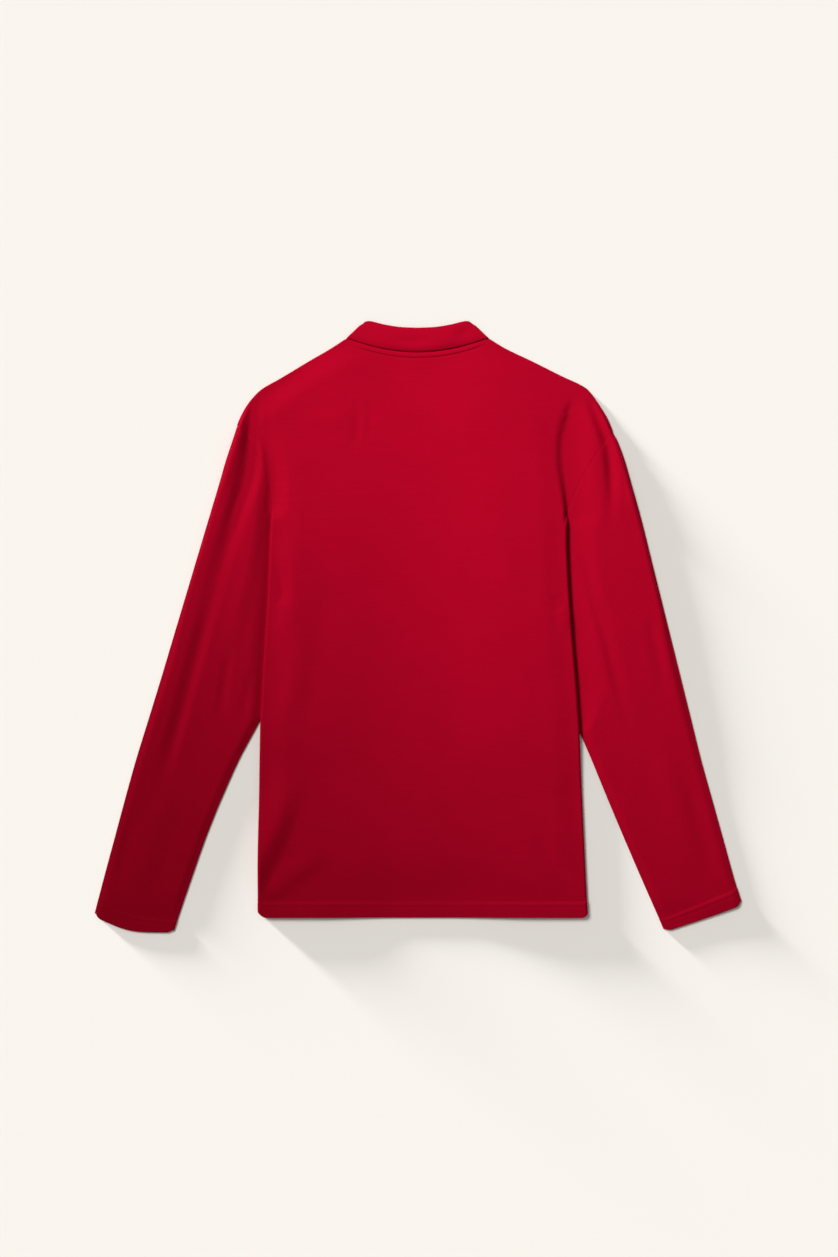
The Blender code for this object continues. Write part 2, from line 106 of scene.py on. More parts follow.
@dataclass(frozen=True)
class SmoothCurve:
    """A smooth curve that gives one number for another, level past its ends."""

    keys: tuple[float, ...]
    values: tuple[float, ...]

    def at(self, key: Array | float) -> Array:
        """Reads the curve.

        Args:
            key: one number or an array of them.

        Returns:
            The curve's value at each.
        """
        keys, values = np.array(self.keys), np.array(self.values)
        order = np.arange(len(keys))
        low, high = np.maximum(order - 1, 0), np.minimum(order + 1, len(keys) - 1)
        slopes = (values[high] - values[low]) / (keys[high] - keys[low])
        key = np.clip(key, keys[0], keys[-1])
        spot = np.clip(np.searchsorted(keys, key, side="right") - 1, 0, len(keys) - 2)
        span = keys[spot + 1] - keys[spot]
        t = (key - keys[spot]) / span
        start = (2 * t**3 - 3 * t**2 + 1) * values[spot] + (t**3 - 2 * t**2 + t) * span * slopes[spot]
        end = (3 * t**2 - 2 * t**3) * values[spot + 1] + (t**3 - t**2) * span * slopes[spot + 1]
        return start + end


def x_at(line: Places, y: Array | float) -> Array:
    """The x of a line of places that runs up the plan, at each y."""
    return SmoothCurve(tuple(p.y for p in line), tuple(p.x for p in line)).at(y)


def y_at(line: Places, x: Array | float) -> Array:
    """The y of a line of places that runs to the right, at each x."""
    return SmoothCurve(tuple(p.x for p in line), tuple(p.y for p in line)).at(x)


def along(line: Places, share: Array | float) -> tuple[Array, Array]:
    """Reads a line of places by how far it has run.

    Args:
        line: the places.
        share: from 0 at the first place to 1 at the last.

    Returns:
        x and y at each share.
    """
    keys = tuple(np.linspace(0.0, 1.0, len(line)))
    curve_x = SmoothCurve(keys, tuple(p.x for p in line))
    curve_y = SmoothCurve(keys, tuple(p.y for p in line))
    return curve_x.at(share), curve_y.at(share)


def corner_rise(radius: float, depth: Array) -> Array:
    """How far a rounded corner rises from a straight edge, `depth` in from the corner's side."""
    short = np.clip(radius - depth, 0.0, radius)
    return radius - np.sqrt(radius * radius - short * short)


def lengths(line: Array) -> Array:
    """How far along a line of points each one is, on the plan."""
    return np.concatenate([[0.0], np.cumsum(np.hypot(*np.diff(line[:, :2], axis=0).T))])


@dataclass(frozen=True)
class Fold:
    """A soft ridge along a line of places, or a trough where its height is below zero."""

    line: Places
    height: float
    left: float
    right: float
    tapers: tuple[float, float] = (0.35, 0.35)

    def relief(self, x: Array, y: Array) -> Array:
        """How far the fold raises the cloth.

        Args:
            x: places across the plan.
            y: places along the plan.

        Returns:
            The rise at each place.
        """
        steps = 6 * (len(self.line) - 1)
        px, py = along(self.line, np.linspace(0.0, 1.0, steps + 1))
        reach = max(self.left, self.right)
        near = (x > px.min() - reach) & (x < px.max() + reach)
        near = near & (y > py.min() - reach) & (y < py.max() + reach)
        rise = np.zeros(x.shape)
        if not near.any():
            return rise
        x, y = x[near], y[near]
        best = np.full(x.shape, np.inf)
        spot, way = np.zeros(x.shape), np.zeros(x.shape)
        for k in range(steps):
            dx, dy = px[k + 1] - px[k], py[k + 1] - py[k]
            share = np.clip(((x - px[k]) * dx + (y - py[k]) * dy) / (dx * dx + dy * dy), 0.0, 1.0)
            ox, oy = x - px[k] - share * dx, y - py[k] - share * dy
            distance = np.hypot(ox, oy)
            nearer = distance < best
            best = np.where(nearer, distance, best)
            spot = np.where(nearer, (k + share) / steps, spot)
            way = np.where(nearer, dx * oy - dy * ox, way)
        width = np.where(way > 0.0, self.left, self.right)
        ends = (1.0 - fade(spot, 0.0, self.tapers[0])) * fade(spot, 1.0 - self.tapers[1], 1.0)
        rise[near] = self.height * fade(best, 0.0, width) * ends
        return rise


@dataclass(frozen=True)
class BodySide:
    """One side of the garment: its outline, its fold and how deep things lie under it."""

    name: str
    sign: float
    fork_y: float
    emerge_y: float
    hem_corner: float
    crease_widths: tuple[float, float]
    crease_narrowing: float
    climb_width: float
    crisp_climb: bool
    fold: Places
    armhole: Places
    tucked: Places
    shoulder: Places
    outer: Places
    inner: Places
    cuff: Places
    flap: float = 56.0
    fold_radius: float = 2.55
    emerge_ramp: float = 20.0
    crease_top: tuple[float, float] = (225.0, 292.0)
    narrowing_top: tuple[float, float] = (150.0, 210.0)

    def inward(self, x: Array, y: Array) -> Array:
        """How far a place lies inside the fold down the body's side, negative on the sleeve."""
        return self.sign * (x_at(self.fold, y) - x)

    def tuck_depth(self, y: Array) -> Array:
        """How far in from the fold the tucked sleeve reaches.

        Args:
            y: places along the plan.

        Returns:
            The depth at each place.
        """
        top = self.emerge_y - self.emerge_ramp
        upper = self.tucked[::-1] + (Place(float(x_at(self.fold, top)), top),)
        reach = np.where(y <= ARMPIT_Y, x_at(self.inner, y), x_at(upper, y))
        return np.maximum(0.0, self.inward(reach, y))

    def flap_depth(self, y: Array) -> Array:
        """How far in from the fold the turned-under side of the body reaches."""
        return np.where(y > ARMPIT_Y, np.minimum(self.flap, self.tuck_depth(y)), self.flap)

    def sleeve_share(self, y: Array, below: float, above: float) -> Array:
        """How much of the tucked sleeve's thickness a layer over it feels.

        Args:
            y: places along the plan.
            below: how far it fades below the fork.
            above: how far it fades above where the tucked sleeve ends.

        Returns:
            The share at each place.
        """
        top = self.emerge_y - self.emerge_ramp
        return fade(-y, -self.fork_y, below - self.fork_y) * fade(y, top, top + above)

    def flap_share(self, y: Array, above: float = 20.0) -> Array:
        """How much of the turned-under side's thickness a layer feels, fading `above` its top."""
        top = self.emerge_y - 2 * self.emerge_ramp
        return fade(y, top, top + above)

    def seam_crease(self, x: Array, y: Array) -> Array:
        """How deep the trough is that runs from the fold's upper end to the shoulder.

        Args:
            x: places across the plan.
            y: places along the plan.

        Returns:
            1 along the trough, and 0 away from it.
        """
        run = fade(-y, -self.emerge_y, self.emerge_ramp - self.emerge_y) * fade(y, *self.crease_top)
        depth = self.inward(x, y)
        body, sleeve = self.crease_widths
        body = body * (1.0 - self.crease_narrowing * fade(y, *self.narrowing_top))
        return run * fade(np.abs(depth), 0.0, np.where(depth > 0.0, body, sleeve))


RIGHT = BodySide(
    name="right",
    sign=1,
    fork_y=-127,
    emerge_y=142,
    hem_corner=8,
    crease_widths=(9.5, 46),
    crease_narrowing=0.38,
    climb_width=40,
    crisp_climb=False,
    fold=places(
        212.5, -364, 208, -268, 204.5, -190, 202, -127, 200, -100, 197, -60,
        193.5, -20, 190.5, 20, 188, 60, 186.4, 96, 186.2, 118, 187, 142, 184.5, 170,
        181.5, 196, 180.5, 214, 181, 236, 185, 262, 192, 290,
    ),
    armhole=places(
        187, 142, 195.5, 163.5, 207, 188.5, 218, 207, 226.5, 220, 234, 231.5, 243, 242.5,
    ),
    tucked=places(182, 104, 173, 76, 159, 51, 139, 36),
    shoulder=places(
        243, 242.5, 237, 257.5, 228.5, 272, 219.5, 285.5, 209.5, 297, 178, 312.5, 141, 331,
        109.5, 346, 88, 359,
    ),
    outer=places(
        406, -348, 396.5, -318, 382.5, -268, 368.5, -218, 354.5, -168, 342, -118,
        329.5, -68, 317, -18, 304.5, 32, 292, 82, 279.5, 132, 265.5, 182, 258, 208,
        249, 232, 243, 242.5,
    ),
    inner=places(
        308.5, -382, 302.5, -368, 280.5, -318, 259, -268, 238, -218, 217.5, -168,
        200, -127, 174.5, -60, 150.5, 5, 139, 36,
    ),
    cuff=places(308.5, -382, 358, -365.5, 406, -348),
)

LEFT = BodySide(
    name="left",
    sign=-1,
    fork_y=-115,
    emerge_y=151,
    hem_corner=12,
    crease_widths=(22, 11),
    crease_narrowing=0,
    climb_width=19,
    crisp_climb=True,
    fold=places(
        -199.5, -364, -199.5, -292, -198, -218, -197, -155, -196, -115, -192, -42,
        -187, 36, -184, 108, -181.5, 151, -180.5, 182, -182.5, 200, -186.5, 220,
        -193, 245, -196, 272, -196.5, 290,
    ),
    armhole=places(
        -181.5, 151, -184.5, 172, -191, 195, -199, 213.5, -207.5, 227.5, -216, 239.5,
        -224.5, 250,
    ),
    tucked=places(-174, 110, -165, 80, -151, 53, -131, 36),
    shoulder=places(
        -224.5, 250, -221.5, 258, -214.5, 271.5, -206.5, 283, -194.5, 295, -170.5, 309,
        -133, 331.5, -109.5, 345, -88, 359,
    ),
    outer=places(
        -404.5, -363, -393, -318, -379.5, -268, -366, -218, -352, -168, -336.5, -118,
        -321, -68, -306, -18, -291, 32, -276, 82, -261, 132, -246, 182,
        -238.5, 208, -230.5, 232, -224.5, 250,
    ),
    inner=places(
        -305, -383, -300, -368, -283, -318, -265.5, -268, -253, -236, -245.5, -218,
        -223, -168, -195, -115, -170, -55, -144, 5, -131, 36,
    ),
    cuff=places(-404.5, -363, -360, -380, -305, -383),
)

SIDES = (LEFT, RIGHT)

# Down a fold, its left is towards +X. The light comes from the upper left, so a right-hand flank
# that faces away from it is long where the fold looks dark and short where it looks crisp.
BODY_FOLDS = (
    Fold(
        places(
            -148, -168, -162, -205, -176, -243, -191.5, -280, -201, -300, -211, -322,
            -220, -342, -231, -368,
        ),
        7.4, 26, 36, (0.42, 0.02),
    ),
    Fold(places(-104, -270, -136, -296, -169, -322, -197, -344), 1.7, 18, 24, (0.45, 0.1)),
    Fold(places(143, -259, 172, -298, 206, -332), -1.6, 12, 14),
    Fold(places(120, -286, 150, -318, 176, -344), 1, 14, 14),
    Fold(places(-160, 140, -158, 90, -156, 41, -158, 0, -162, -60), 3, 50, 26),
    Fold(places(-192, 41, -178, 40.5, -164, 41, -150, 42), -2.6, 48, 18, (0.05, 0.6)),
    Fold(places(-190, 39.5, -178, 39, -164, 40), -1.3, 4.5, 3, (0.1, 0.4)),
    Fold(places(178, 24, 184, 8, 187, -18), 1.3, 9, 14, (0.2, 0.5)),
    Fold(places(164, 33, 176, 31.5, 188, 31), -1.2, 6, 3.5, (0.4, 0.1)),
    Fold(places(-140, 20, -148, -40, -156, -90, -168, -136), 1.6, 24, 22),
    Fold(places(-82, 286, -74, 254, -82, 212), -0.8, 8, 11),
    Fold(places(-62, 282, -58, 256, -66, 226), -0.5, 8, 10),
    Fold(places(-150, 262, -110, 258, -70, 268), 0.6, 12, 14),
)

SLEEVE_FOLDS = (
    Fold(
        places(
            -199, 290, -203, 258, -205, 228, -207.5, 198, -214, 170, -225, 140,
            -243, 82, -260, 20, -276, -40,
        ),
        -6.4, 16, 20, (0.05, 0.45),
    ),
    Fold(
        places(-216, 272, -223, 250, -228, 228, -234, 204, -242, 176, -251, 146),
        3.3, 16, 8,
    ),
    Fold(places(-202, 200, -202, 150, -210, 90, -222, 20, -236, -50), 1.7, 16, 18),
    Fold(
        places(-248, 64, -263, 8, -276, -40, -293, -104, -309, -160, -322, -210),
        -3.6, 12, 17,
    ),
    Fold(places(-232, -20, -240, -70, -246, -120), -1.3, 9, 12),
    Fold(places(-206, -50, -212, -86, -218, -122), -1, 8, 11),
    Fold(places(-300, -190, -330, -260, -348, -336), 1.4, 26, 24),
    Fold(places(-350, -220, -366, -280, -378, -336), -1.2, 14, 18),
    Fold(places(212, 290, 225, 258, 237, 226, 242, 180, 241, 116), -4.2, 12, 11, (0.1, 0.35)),
    Fold(places(262, 216, 268, 176, 274, 130), 1.6, 12, 14),
    Fold(places(196, 122, 203, 96, 221, 28, 239, -37, 253, -91, 268, -152), -1.7, 16, 9),
    Fold(places(288, 20, 298, -30, 312, -96), -1.2, 10, 12),
    Fold(places(290, -130, 318, -204, 346, -290), 1.2, 24, 26),
    Fold(places(330, -180, 352, -250, 372, -320), -1, 16, 20),
)


@dataclass(frozen=True)
class Drape:
    """How high each layer of the laid garment lies, less or more its folds.

    A pair of distances says up to where an effect is full and from where it is gone.
    """

    ramp: float = 20.0
    underlay: float = 2 * PITCH
    sleeve_margin: float = 8.0
    flap_margin: float = 1.0
    fork_ramp: float = 24.0
    fork_bridge: float = 90.0
    span: tuple[float, float] = (68.0, 176.0)
    span_lengthwise: tuple[float, float] = (100.0, 250.0)
    hem_flat: tuple[float, float] = (19.0, 80.0)
    top_flat: tuple[float, float] = (9.0, 130.0)
    body_air: float = 4.6
    shoulder_air: float = 4.0
    ease: float = 2.0
    ease_reach: tuple[float, float] = (6.0, 36.0)
    puff: float = 4.6
    cuff_puff: float = 2.2
    puff_run: tuple[float, float] = (-230.0, -60.0)
    sleeve_head: tuple[float, float] = (262.0, 300.0)
    cuff_flat: tuple[float, float] = (336.0, 372.0)
    climb_start: float = 2.0
    climb_at_cuff: float = 10.0
    rims: tuple[float, float] = (4.5, 10.5)
    top_line: Places = places(-196, 290, -88, 359, 0, 341, 88, 359, 196, 290)
    body_folds: tuple[Fold, ...] = BODY_FOLDS
    sleeve_folds: tuple[Fold, ...] = SLEEVE_FOLDS

    def lift(self, side: BodySide, x: Array, y: Array) -> Array:
        """How far the layers under the body's side lift the layer on them.

        Args:
            side: the side.
            x: places across the plan.
            y: places along the plan.

        Returns:
            The lift at each place.
        """
        depth = side.inward(x, y)
        reach = side.tuck_depth(y) + self.sleeve_margin
        sleeve = side.sleeve_share(y, self.fork_ramp, side.emerge_ramp)
        sleeve = sleeve * fade(depth, reach, reach + self.ramp)
        reach = side.flap_depth(y) + self.flap_margin
        return self.underlay * (sleeve + side.flap_share(y) * fade(depth, reach, reach + self.ramp))

    def spanned(self, side: BodySide, y: Array) -> Array:
        """How high the upper layer lies over one side, where it spans the steps under it."""
        low = self.underlay * (1.0 + fade(-y, -side.fork_y, self.fork_bridge - side.fork_y))
        return self.shoulder_air + (low - self.shoulder_air) * fade(y, *self.span_lengthwise)

    def room(self, side: BodySide, x: Array, y: Array) -> Array:
        """How free a sleeve's upper layer is to rise.

        Args:
            side: which sleeve.
            x: places across the plan.
            y: places along the plan.

        Returns:
            0 at its edges and 1 well inside them.
        """
        inner = np.where(y < side.fork_y, x_at(side.inner, y), x_at(side.fold, y))
        outer = np.where(y <= side.outer[-1].y, x_at(side.outer, y), x_at(side.shoulder[:5], y))
        free = fade(y, *self.sleeve_head) * fade(-y, *self.cuff_flat)
        above_fork = 1.0 - fade(y, side.fork_y - 20.0, side.fork_y + 60.0)
        wide = self.climb_at_cuff + (side.climb_width - self.climb_at_cuff) * above_fork
        climb = np.clip((side.sign * (x - inner) - self.climb_start) / wide, 0.0, 1.0)
        crisp = fade(-y, -side.fork_y - 20.0, 20.0 - side.fork_y) * side.crisp_climb
        climb = climb * climb * (3.0 - 2.0 * climb) * (1.0 - crisp) + (1.0 - (1.0 - climb) ** 2) * crisp
        rim = self.rims[0] + (self.rims[1] - self.rims[0]) * fade(y, -60.0, 40.0)
        return free * climb * (1.0 - fade(side.sign * (outer - x), 0.0, rim))

    def sleeve_rise(self, side: BodySide, x: Array, y: Array) -> Array:
        """How far a sleeve's upper layer rises above its flat place.

        Args:
            side: which sleeve.
            x: places across the plan.
            y: places along the plan.

        Returns:
            The rise at each place.
        """
        folds = sum(fold.relief(x, y) for fold in self.sleeve_folds)
        puff = self.cuff_puff + (self.puff - self.cuff_puff) * (1.0 - fade(y, *self.puff_run))
        rise = np.maximum(0.0, puff + folds) * self.room(side, x, y)
        return rise * (1.0 - side.seam_crease(x, y))

    def back(self, x: Array, y: Array) -> Array:
        """The middle height of the back panel's wall.

        Args:
            x: places across the plan.
            y: places along the plan.

        Returns:
            The height at each place.
        """
        top = y_at(self.top_line, x)
        air = (1.0 - fade(y - HEM_Y, *self.hem_flat)) * (1.0 - fade(top - y, *self.top_flat))
        folds = sum(fold.relief(x, y) for fold in self.body_folds)
        folds = folds * (1.0 - 0.6 * fade(y - HEM_Y, 8.0, 40.0)) * (1.0 - fade(top - y, 8.0, 24.0))
        sides, shares, crease = np.zeros(x.shape), np.zeros(x.shape), np.ones(x.shape)
        beyond, outside = np.zeros(x.shape), np.zeros(x.shape, bool)
        for side in SIDES:
            depth = side.inward(x, y)
            share = fade(depth, *self.span)
            loose = self.ease * air * (1.0 - fade(depth, *self.ease_reach))
            sides, shares = sides + share * (self.spanned(side, y) + loose), shares + share
            crease = crease * (1.0 - side.seam_crease(x, y))
            beyond = beyond + np.where(depth < 0.0, self.sleeve_rise(side, x, y), 0.0)
            outside = outside | (depth < 0.0)
        inside = (sides + (1.0 - shares) * self.body_air * air + folds) * crease
        inside = inside * (1.0 - fade(top - y, 4.0, 40.0) * (y > 200.0))
        height = SECOND_LAYER + NECK_LIFT * fade(np.abs(x), 92.0, 130.0) * fade(-y, -270.0, -230.0)
        height = height + np.where(outside, beyond, inside)
        return np.maximum(height, self.front(x, y) + PITCH)

    def front(self, x: Array, y: Array) -> Array:
        """The middle height of the front panel's wall.

        Args:
            x: places across the plan.
            y: places along the plan.

        Returns:
            The height at each place.
        """
        height = np.full(x.shape, FIRST_LAYER)
        for side in SIDES:
            crease = 1.0 - side.seam_crease(x, y)
            height = height + np.where(side.inward(x, y) > 0.0, self.lift(side, x, y) * crease, 0.0)
        return height

    def sleeve(self, side: BodySide, x: Array, y: Array) -> Array:
        """The middle height of a sleeve's upper layer, flat where it is tucked under the body."""
        tucked = (side.inward(x, y) > 0.0) & (y > side.fork_y)
        return SECOND_LAYER + np.where(tucked, 0.0, self.sleeve_rise(side, x, y))


def linear(shade: str) -> tuple[float, float, float, float]:
    """Turns a colour into linear light.

    Args:
        shade: sRGB as six hex digits.

    Returns:
        Red, green, blue and full alpha.
    """
    parts = [int(shade[i : i + 2], 16) / 255.0 for i in (0, 2, 4)]
    red, green, blue = (p / 12.92 if p <= 0.04045 else ((p + 0.055) / 1.055) ** 2.4 for p in parts)
    return red, green, blue, 1.0


def add_node(
    tree: bpy.types.NodeTree,
    kind: str,
    links: dict[str, bpy.types.NodeSocket] | None = None,
    values: dict[str, object] | None = None,
    **settings: object,
) -> bpy.types.Node:
    """Adds one node.

    Args:
        tree: where it goes.
        kind: its Blender type.
        links: the sockets that feed its inputs, by input name or number.
        values: what its other inputs are set to, by input name or number.
        settings: its own properties.

    Returns:
        The node.
    """
    node = tree.nodes.new(kind)
    for name, value in settings.items():
        setattr(node, name, value)
    for name, value in (values or {}).items():
        node.inputs[name].default_value = value
    for name, socket in (links or {}).items():
        tree.links.new(socket, node.inputs[name])
    return node


class Knit(Enum):
    """How a knitted cloth was made."""

    JERSEY = "jersey"
    RIB = "rib"


@dataclass(frozen=True)
class KnitFinish:
    """Dyed cotton knit: matte and slightly fuzzy, with rows of loops and faint uneven courses."""

    name: str
    knit: Knit
    shade: str
    deep_shade: str
    wale: float
    course: float
    loop_depth: float
    roughness: float = 0.86
    shine: float = 0.03
    fuzz: float = 0.08
    fuzz_spread: float = 0.55
    fuzz_shade: str = "b00022"
    streak: float = 0.2
    slant: float = 1.1

    def make(self) -> bpy.types.Material:
        """Builds the material, which reads the cloth's own UV map in metres.

        Returns:
            The material.
        """
        made = bpy.data.materials.new(self.name)
        made.use_nodes = True
        tree = made.node_tree
        surface = tree.nodes["Principled BSDF"]
        look = {
            "Roughness": self.roughness,
            "Sheen Weight": self.fuzz,
            "Sheen Roughness": self.fuzz_spread,
            "Sheen Tint": linear(self.fuzz_shade),
            "Specular IOR Level": self.shine,
        }
        for name, value in look.items():
            surface.inputs[name].default_value = value
        place = add_node(tree, "ShaderNodeUVMap", uv_map="cloth").outputs["UV"]
        stretched = add_node(
            tree, "ShaderNodeMapping", {"Vector": place}, {"Scale": (1.0, 12.0, 1.0)}
        ).outputs["Vector"]
        streaks = add_node(
            tree, "ShaderNodeTexNoise", {"Vector": stretched},
            {"Scale": 26.0, "Detail": 3.0, "Roughness": 0.62},
        ).outputs["Fac"]
        blotches = add_node(
            tree, "ShaderNodeTexNoise", {"Vector": place}, {"Scale": 22.0, "Detail": 4.0, "Roughness": 0.55}
        ).outputs["Fac"]
        uneven = add_node(
            tree, "ShaderNodeMix", {2: streaks, 3: blotches}, {0: 0.45}, data_type="FLOAT"
        ).outputs[0]
        ramp = add_node(tree, "ShaderNodeValToRGB", {"Fac": uneven})
        ramp.color_ramp.elements[0].position = 0.32
        ramp.color_ramp.elements[0].color = linear(self.deep_shade)
        ramp.color_ramp.elements[1].position = 0.68
        ramp.color_ramp.elements[1].color = linear(self.shade)
        tree.links.new(ramp.outputs["Color"], surface.inputs["Base Color"])
        across, up, _ = add_node(tree, "ShaderNodeSeparateXYZ", {0: place}).outputs
        yarn_share = 0.5 if self.knit is Knit.JERSEY else 0.15
        made_so_far = {"across": across, "up": up}
        steps = (
            ("wales", "DIVIDE", ("across", self.wale * MM)),
            ("courses", "DIVIDE", ("up", self.course * MM)),
            ("legs", "PINGPONG", ("wales", 0.5)),
            ("slanted", "MULTIPLY_ADD", ("legs", self.slant, "courses")),
            ("turn", "MULTIPLY", ("slanted", 2.0 * math.pi)),
            ("wave", "SINE", ("turn",)),
            ("yarn", "MULTIPLY_ADD", ("wave", yarn_share, 1.0 - yarn_share)),
            ("columns", "MULTIPLY", ("wales", math.pi)),
            ("valleys", "SINE", ("columns",)),
            ("ribs", "ABSOLUTE", ("valleys",)),
            ("rounded", "MULTIPLY_ADD", ("ribs", 0.7, 0.3)),
            ("loops", "MULTIPLY", ("yarn", "rounded")),
        )
        for name, operation, inputs in steps:
            links = {k: made_so_far[part] for k, part in enumerate(inputs) if isinstance(part, str)}
            values = {k: part for k, part in enumerate(inputs) if not isinstance(part, str)}
            node = add_node(tree, "ShaderNodeMath", links, values, operation=operation)
            made_so_far[name] = node.outputs[0]
        loops = made_so_far["loops"]
        height = add_node(
            tree, "ShaderNodeMix", {2: loops, 3: streaks}, {0: self.streak}, data_type="FLOAT"
        ).outputs[0]
        bump = add_node(
            tree, "ShaderNodeBump", {"Height": height}, {"Strength": 0.5, "Distance": self.loop_depth * MM}
        )
        tree.links.new(bump.outputs["Normal"], surface.inputs["Normal"])
        return made


@dataclass(frozen=True)
class ThreadFinish:
    """Spun polyester sewing thread: a touch glossier than the cloth, dyed to match it."""

    name: str = "polyester_sewing_thread"
    shade: str = "a0061f"
    deep_shade: str = "880019"
    twist: float = 0.5

    def make(self) -> bpy.types.Material:
        """Builds the material.

        Returns:
            The material.
        """
        made = bpy.data.materials.new(self.name)
        made.use_nodes = True
        tree = made.node_tree
        surface = tree.nodes["Principled BSDF"]
        surface.inputs["Roughness"].default_value = 0.6
        surface.inputs["Specular IOR Level"].default_value = 0.12
        place = add_node(tree, "ShaderNodeTexCoord").outputs["Object"]
        fleck = add_node(tree, "ShaderNodeTexNoise", {"Vector": place}, {"Scale": 900.0, "Detail": 2.0})
        ramp = add_node(tree, "ShaderNodeValToRGB", {"Fac": fleck.outputs["Fac"]})
        ramp.color_ramp.elements[0].color = linear(self.deep_shade)
        ramp.color_ramp.elements[1].color = linear(self.shade)
        tree.links.new(ramp.outputs["Color"], surface.inputs["Base Color"])
        # A wave texture repeats every 2 pi / 20 of its coordinate at a scale of 1.
        ply = add_node(
            tree, "ShaderNodeTexWave", {"Vector": place},
            {"Scale": 2.0 * math.pi / (20.0 * self.twist * MM)},
            wave_type="BANDS", bands_direction="DIAGONAL",
        )
        bump = add_node(
            tree, "ShaderNodeBump", {"Height": ply.outputs["Fac"]}, {"Strength": 0.3, "Distance": 0.05 * MM}
        )
        tree.links.new(bump.outputs["Normal"], surface.inputs["Normal"])
        return made


# The jersey has about 14 wales to the centimetre, 0.7 mm each. They are drawn 1.2 mm wide, so that
# they show at all.
JERSEY = KnitFinish(
    name="cotton_jersey_knit", knit=Knit.JERSEY, shade="9e001f", deep_shade="97001c",
    wale=1.2, course=1.0, loop_depth=0.2,
)
# The band is a 1x1 rib with its ribs at their real 1.8 mm.
RIB = KnitFinish(
    name="cotton_rib_knit", knit=Knit.RIB, shade="9e001f", deep_shade="97001c",
    wale=1.8, course=1.0, loop_depth=0.22,
)
THREAD = ThreadFinish()


class Palette:
    """The finishes made once and shared by the pieces."""

    def __init__(self) -> None:
        """Makes each material."""
        self.jersey = JERSEY.make()
        self.rib = RIB.make()
        self.thread = THREAD.make()


def in_metres(points: Array) -> Array:
    """Points of the plan in the frame's metres."""
    return (points - np.array((MIDDLE.x, MIDDLE.y, 0.0))) * MM


def grid_mesh(points: Array, cloth: Array) -> bmesh.types.BMesh:
    """A grid whose vertices are moved to their places.

    Args:
        points: rows of columns of points, in millimetres.
        cloth: where each point is on the flat cloth, across and along it, in millimetres.

    Returns:
        The mesh, in metres, with the UV map "cloth" in metres and faces outward.
    """
    rows, columns = points.shape[:2]
    mesh = bmesh.new()
    layer = mesh.loops.layers.uv.new("cloth")
    bmesh.ops.create_grid(mesh, x_segments=columns - 1, y_segments=rows - 1, size=0.5)
    spots = {}
    for vert in mesh.verts:
        spots[vert] = (round((vert.co.y + 0.5) * (rows - 1)), round((vert.co.x + 0.5) * (columns - 1)))
    for face in mesh.faces:
        for loop in face.loops:
            loop[layer].uv = cloth[spots[loop.vert]] * MM
    places_at = in_metres(points)
    for vert, spot in spots.items():
        vert.co = places_at[spot]
    bmesh.ops.remove_doubles(mesh, verts=mesh.verts, dist=2e-6)
    bmesh.ops.dissolve_degenerate(mesh, edges=mesh.edges, dist=1e-6)
    bmesh.ops.recalc_face_normals(mesh, faces=mesh.faces)
    mesh.verts.index_update()
    return mesh


def finished(name: str, mesh: bmesh.types.BMesh, finish: bpy.types.Material) -> bpy.types.Object:
    """Turns a mesh into a piece of the garment.

    Args:
        name: the piece's name.
        mesh: its mesh, which is freed.
        finish: its material.

    Returns:
        The piece, which rides on the garment's body.
    """
    data = bpy.data.meshes.new(name)
    mesh.to_mesh(data)
    mesh.free()
    data.shade_smooth()
    data.materials.append(finish)
    piece = bpy.data.objects.new(name, data)
    bpy.context.scene.collection.objects.link(piece)
    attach(piece, "root")
    LOG.info("%s: %d faces", name, len(data.polygons))
    return piece


def thicken(piece: bpy.types.Object, wall: float, doubled: list[int] | None = None) -> None:
    """Gives a sheet its wall, half on each side.

    Args:
        piece: the sheet.
        wall: the wall, in millimetres.
        doubled: the numbers of the vertices in its hem, where the wall is thicker.
    """
    swell = HEM.swell if doubled else 1.0
    wall_maker = piece.modifiers.new("wall", "SOLIDIFY")
    wall_maker.thickness = wall * swell * MM
    wall_maker.offset = 0.0
    wall_maker.use_even_offset = True
    wall_maker.use_quality_normals = True
    if doubled:
        piece.vertex_groups.new(name="hem").add(doubled, 1.0, "REPLACE")
        wall_maker.vertex_group = "hem"
        wall_maker.thickness_vertex_group = 1.0 / swell


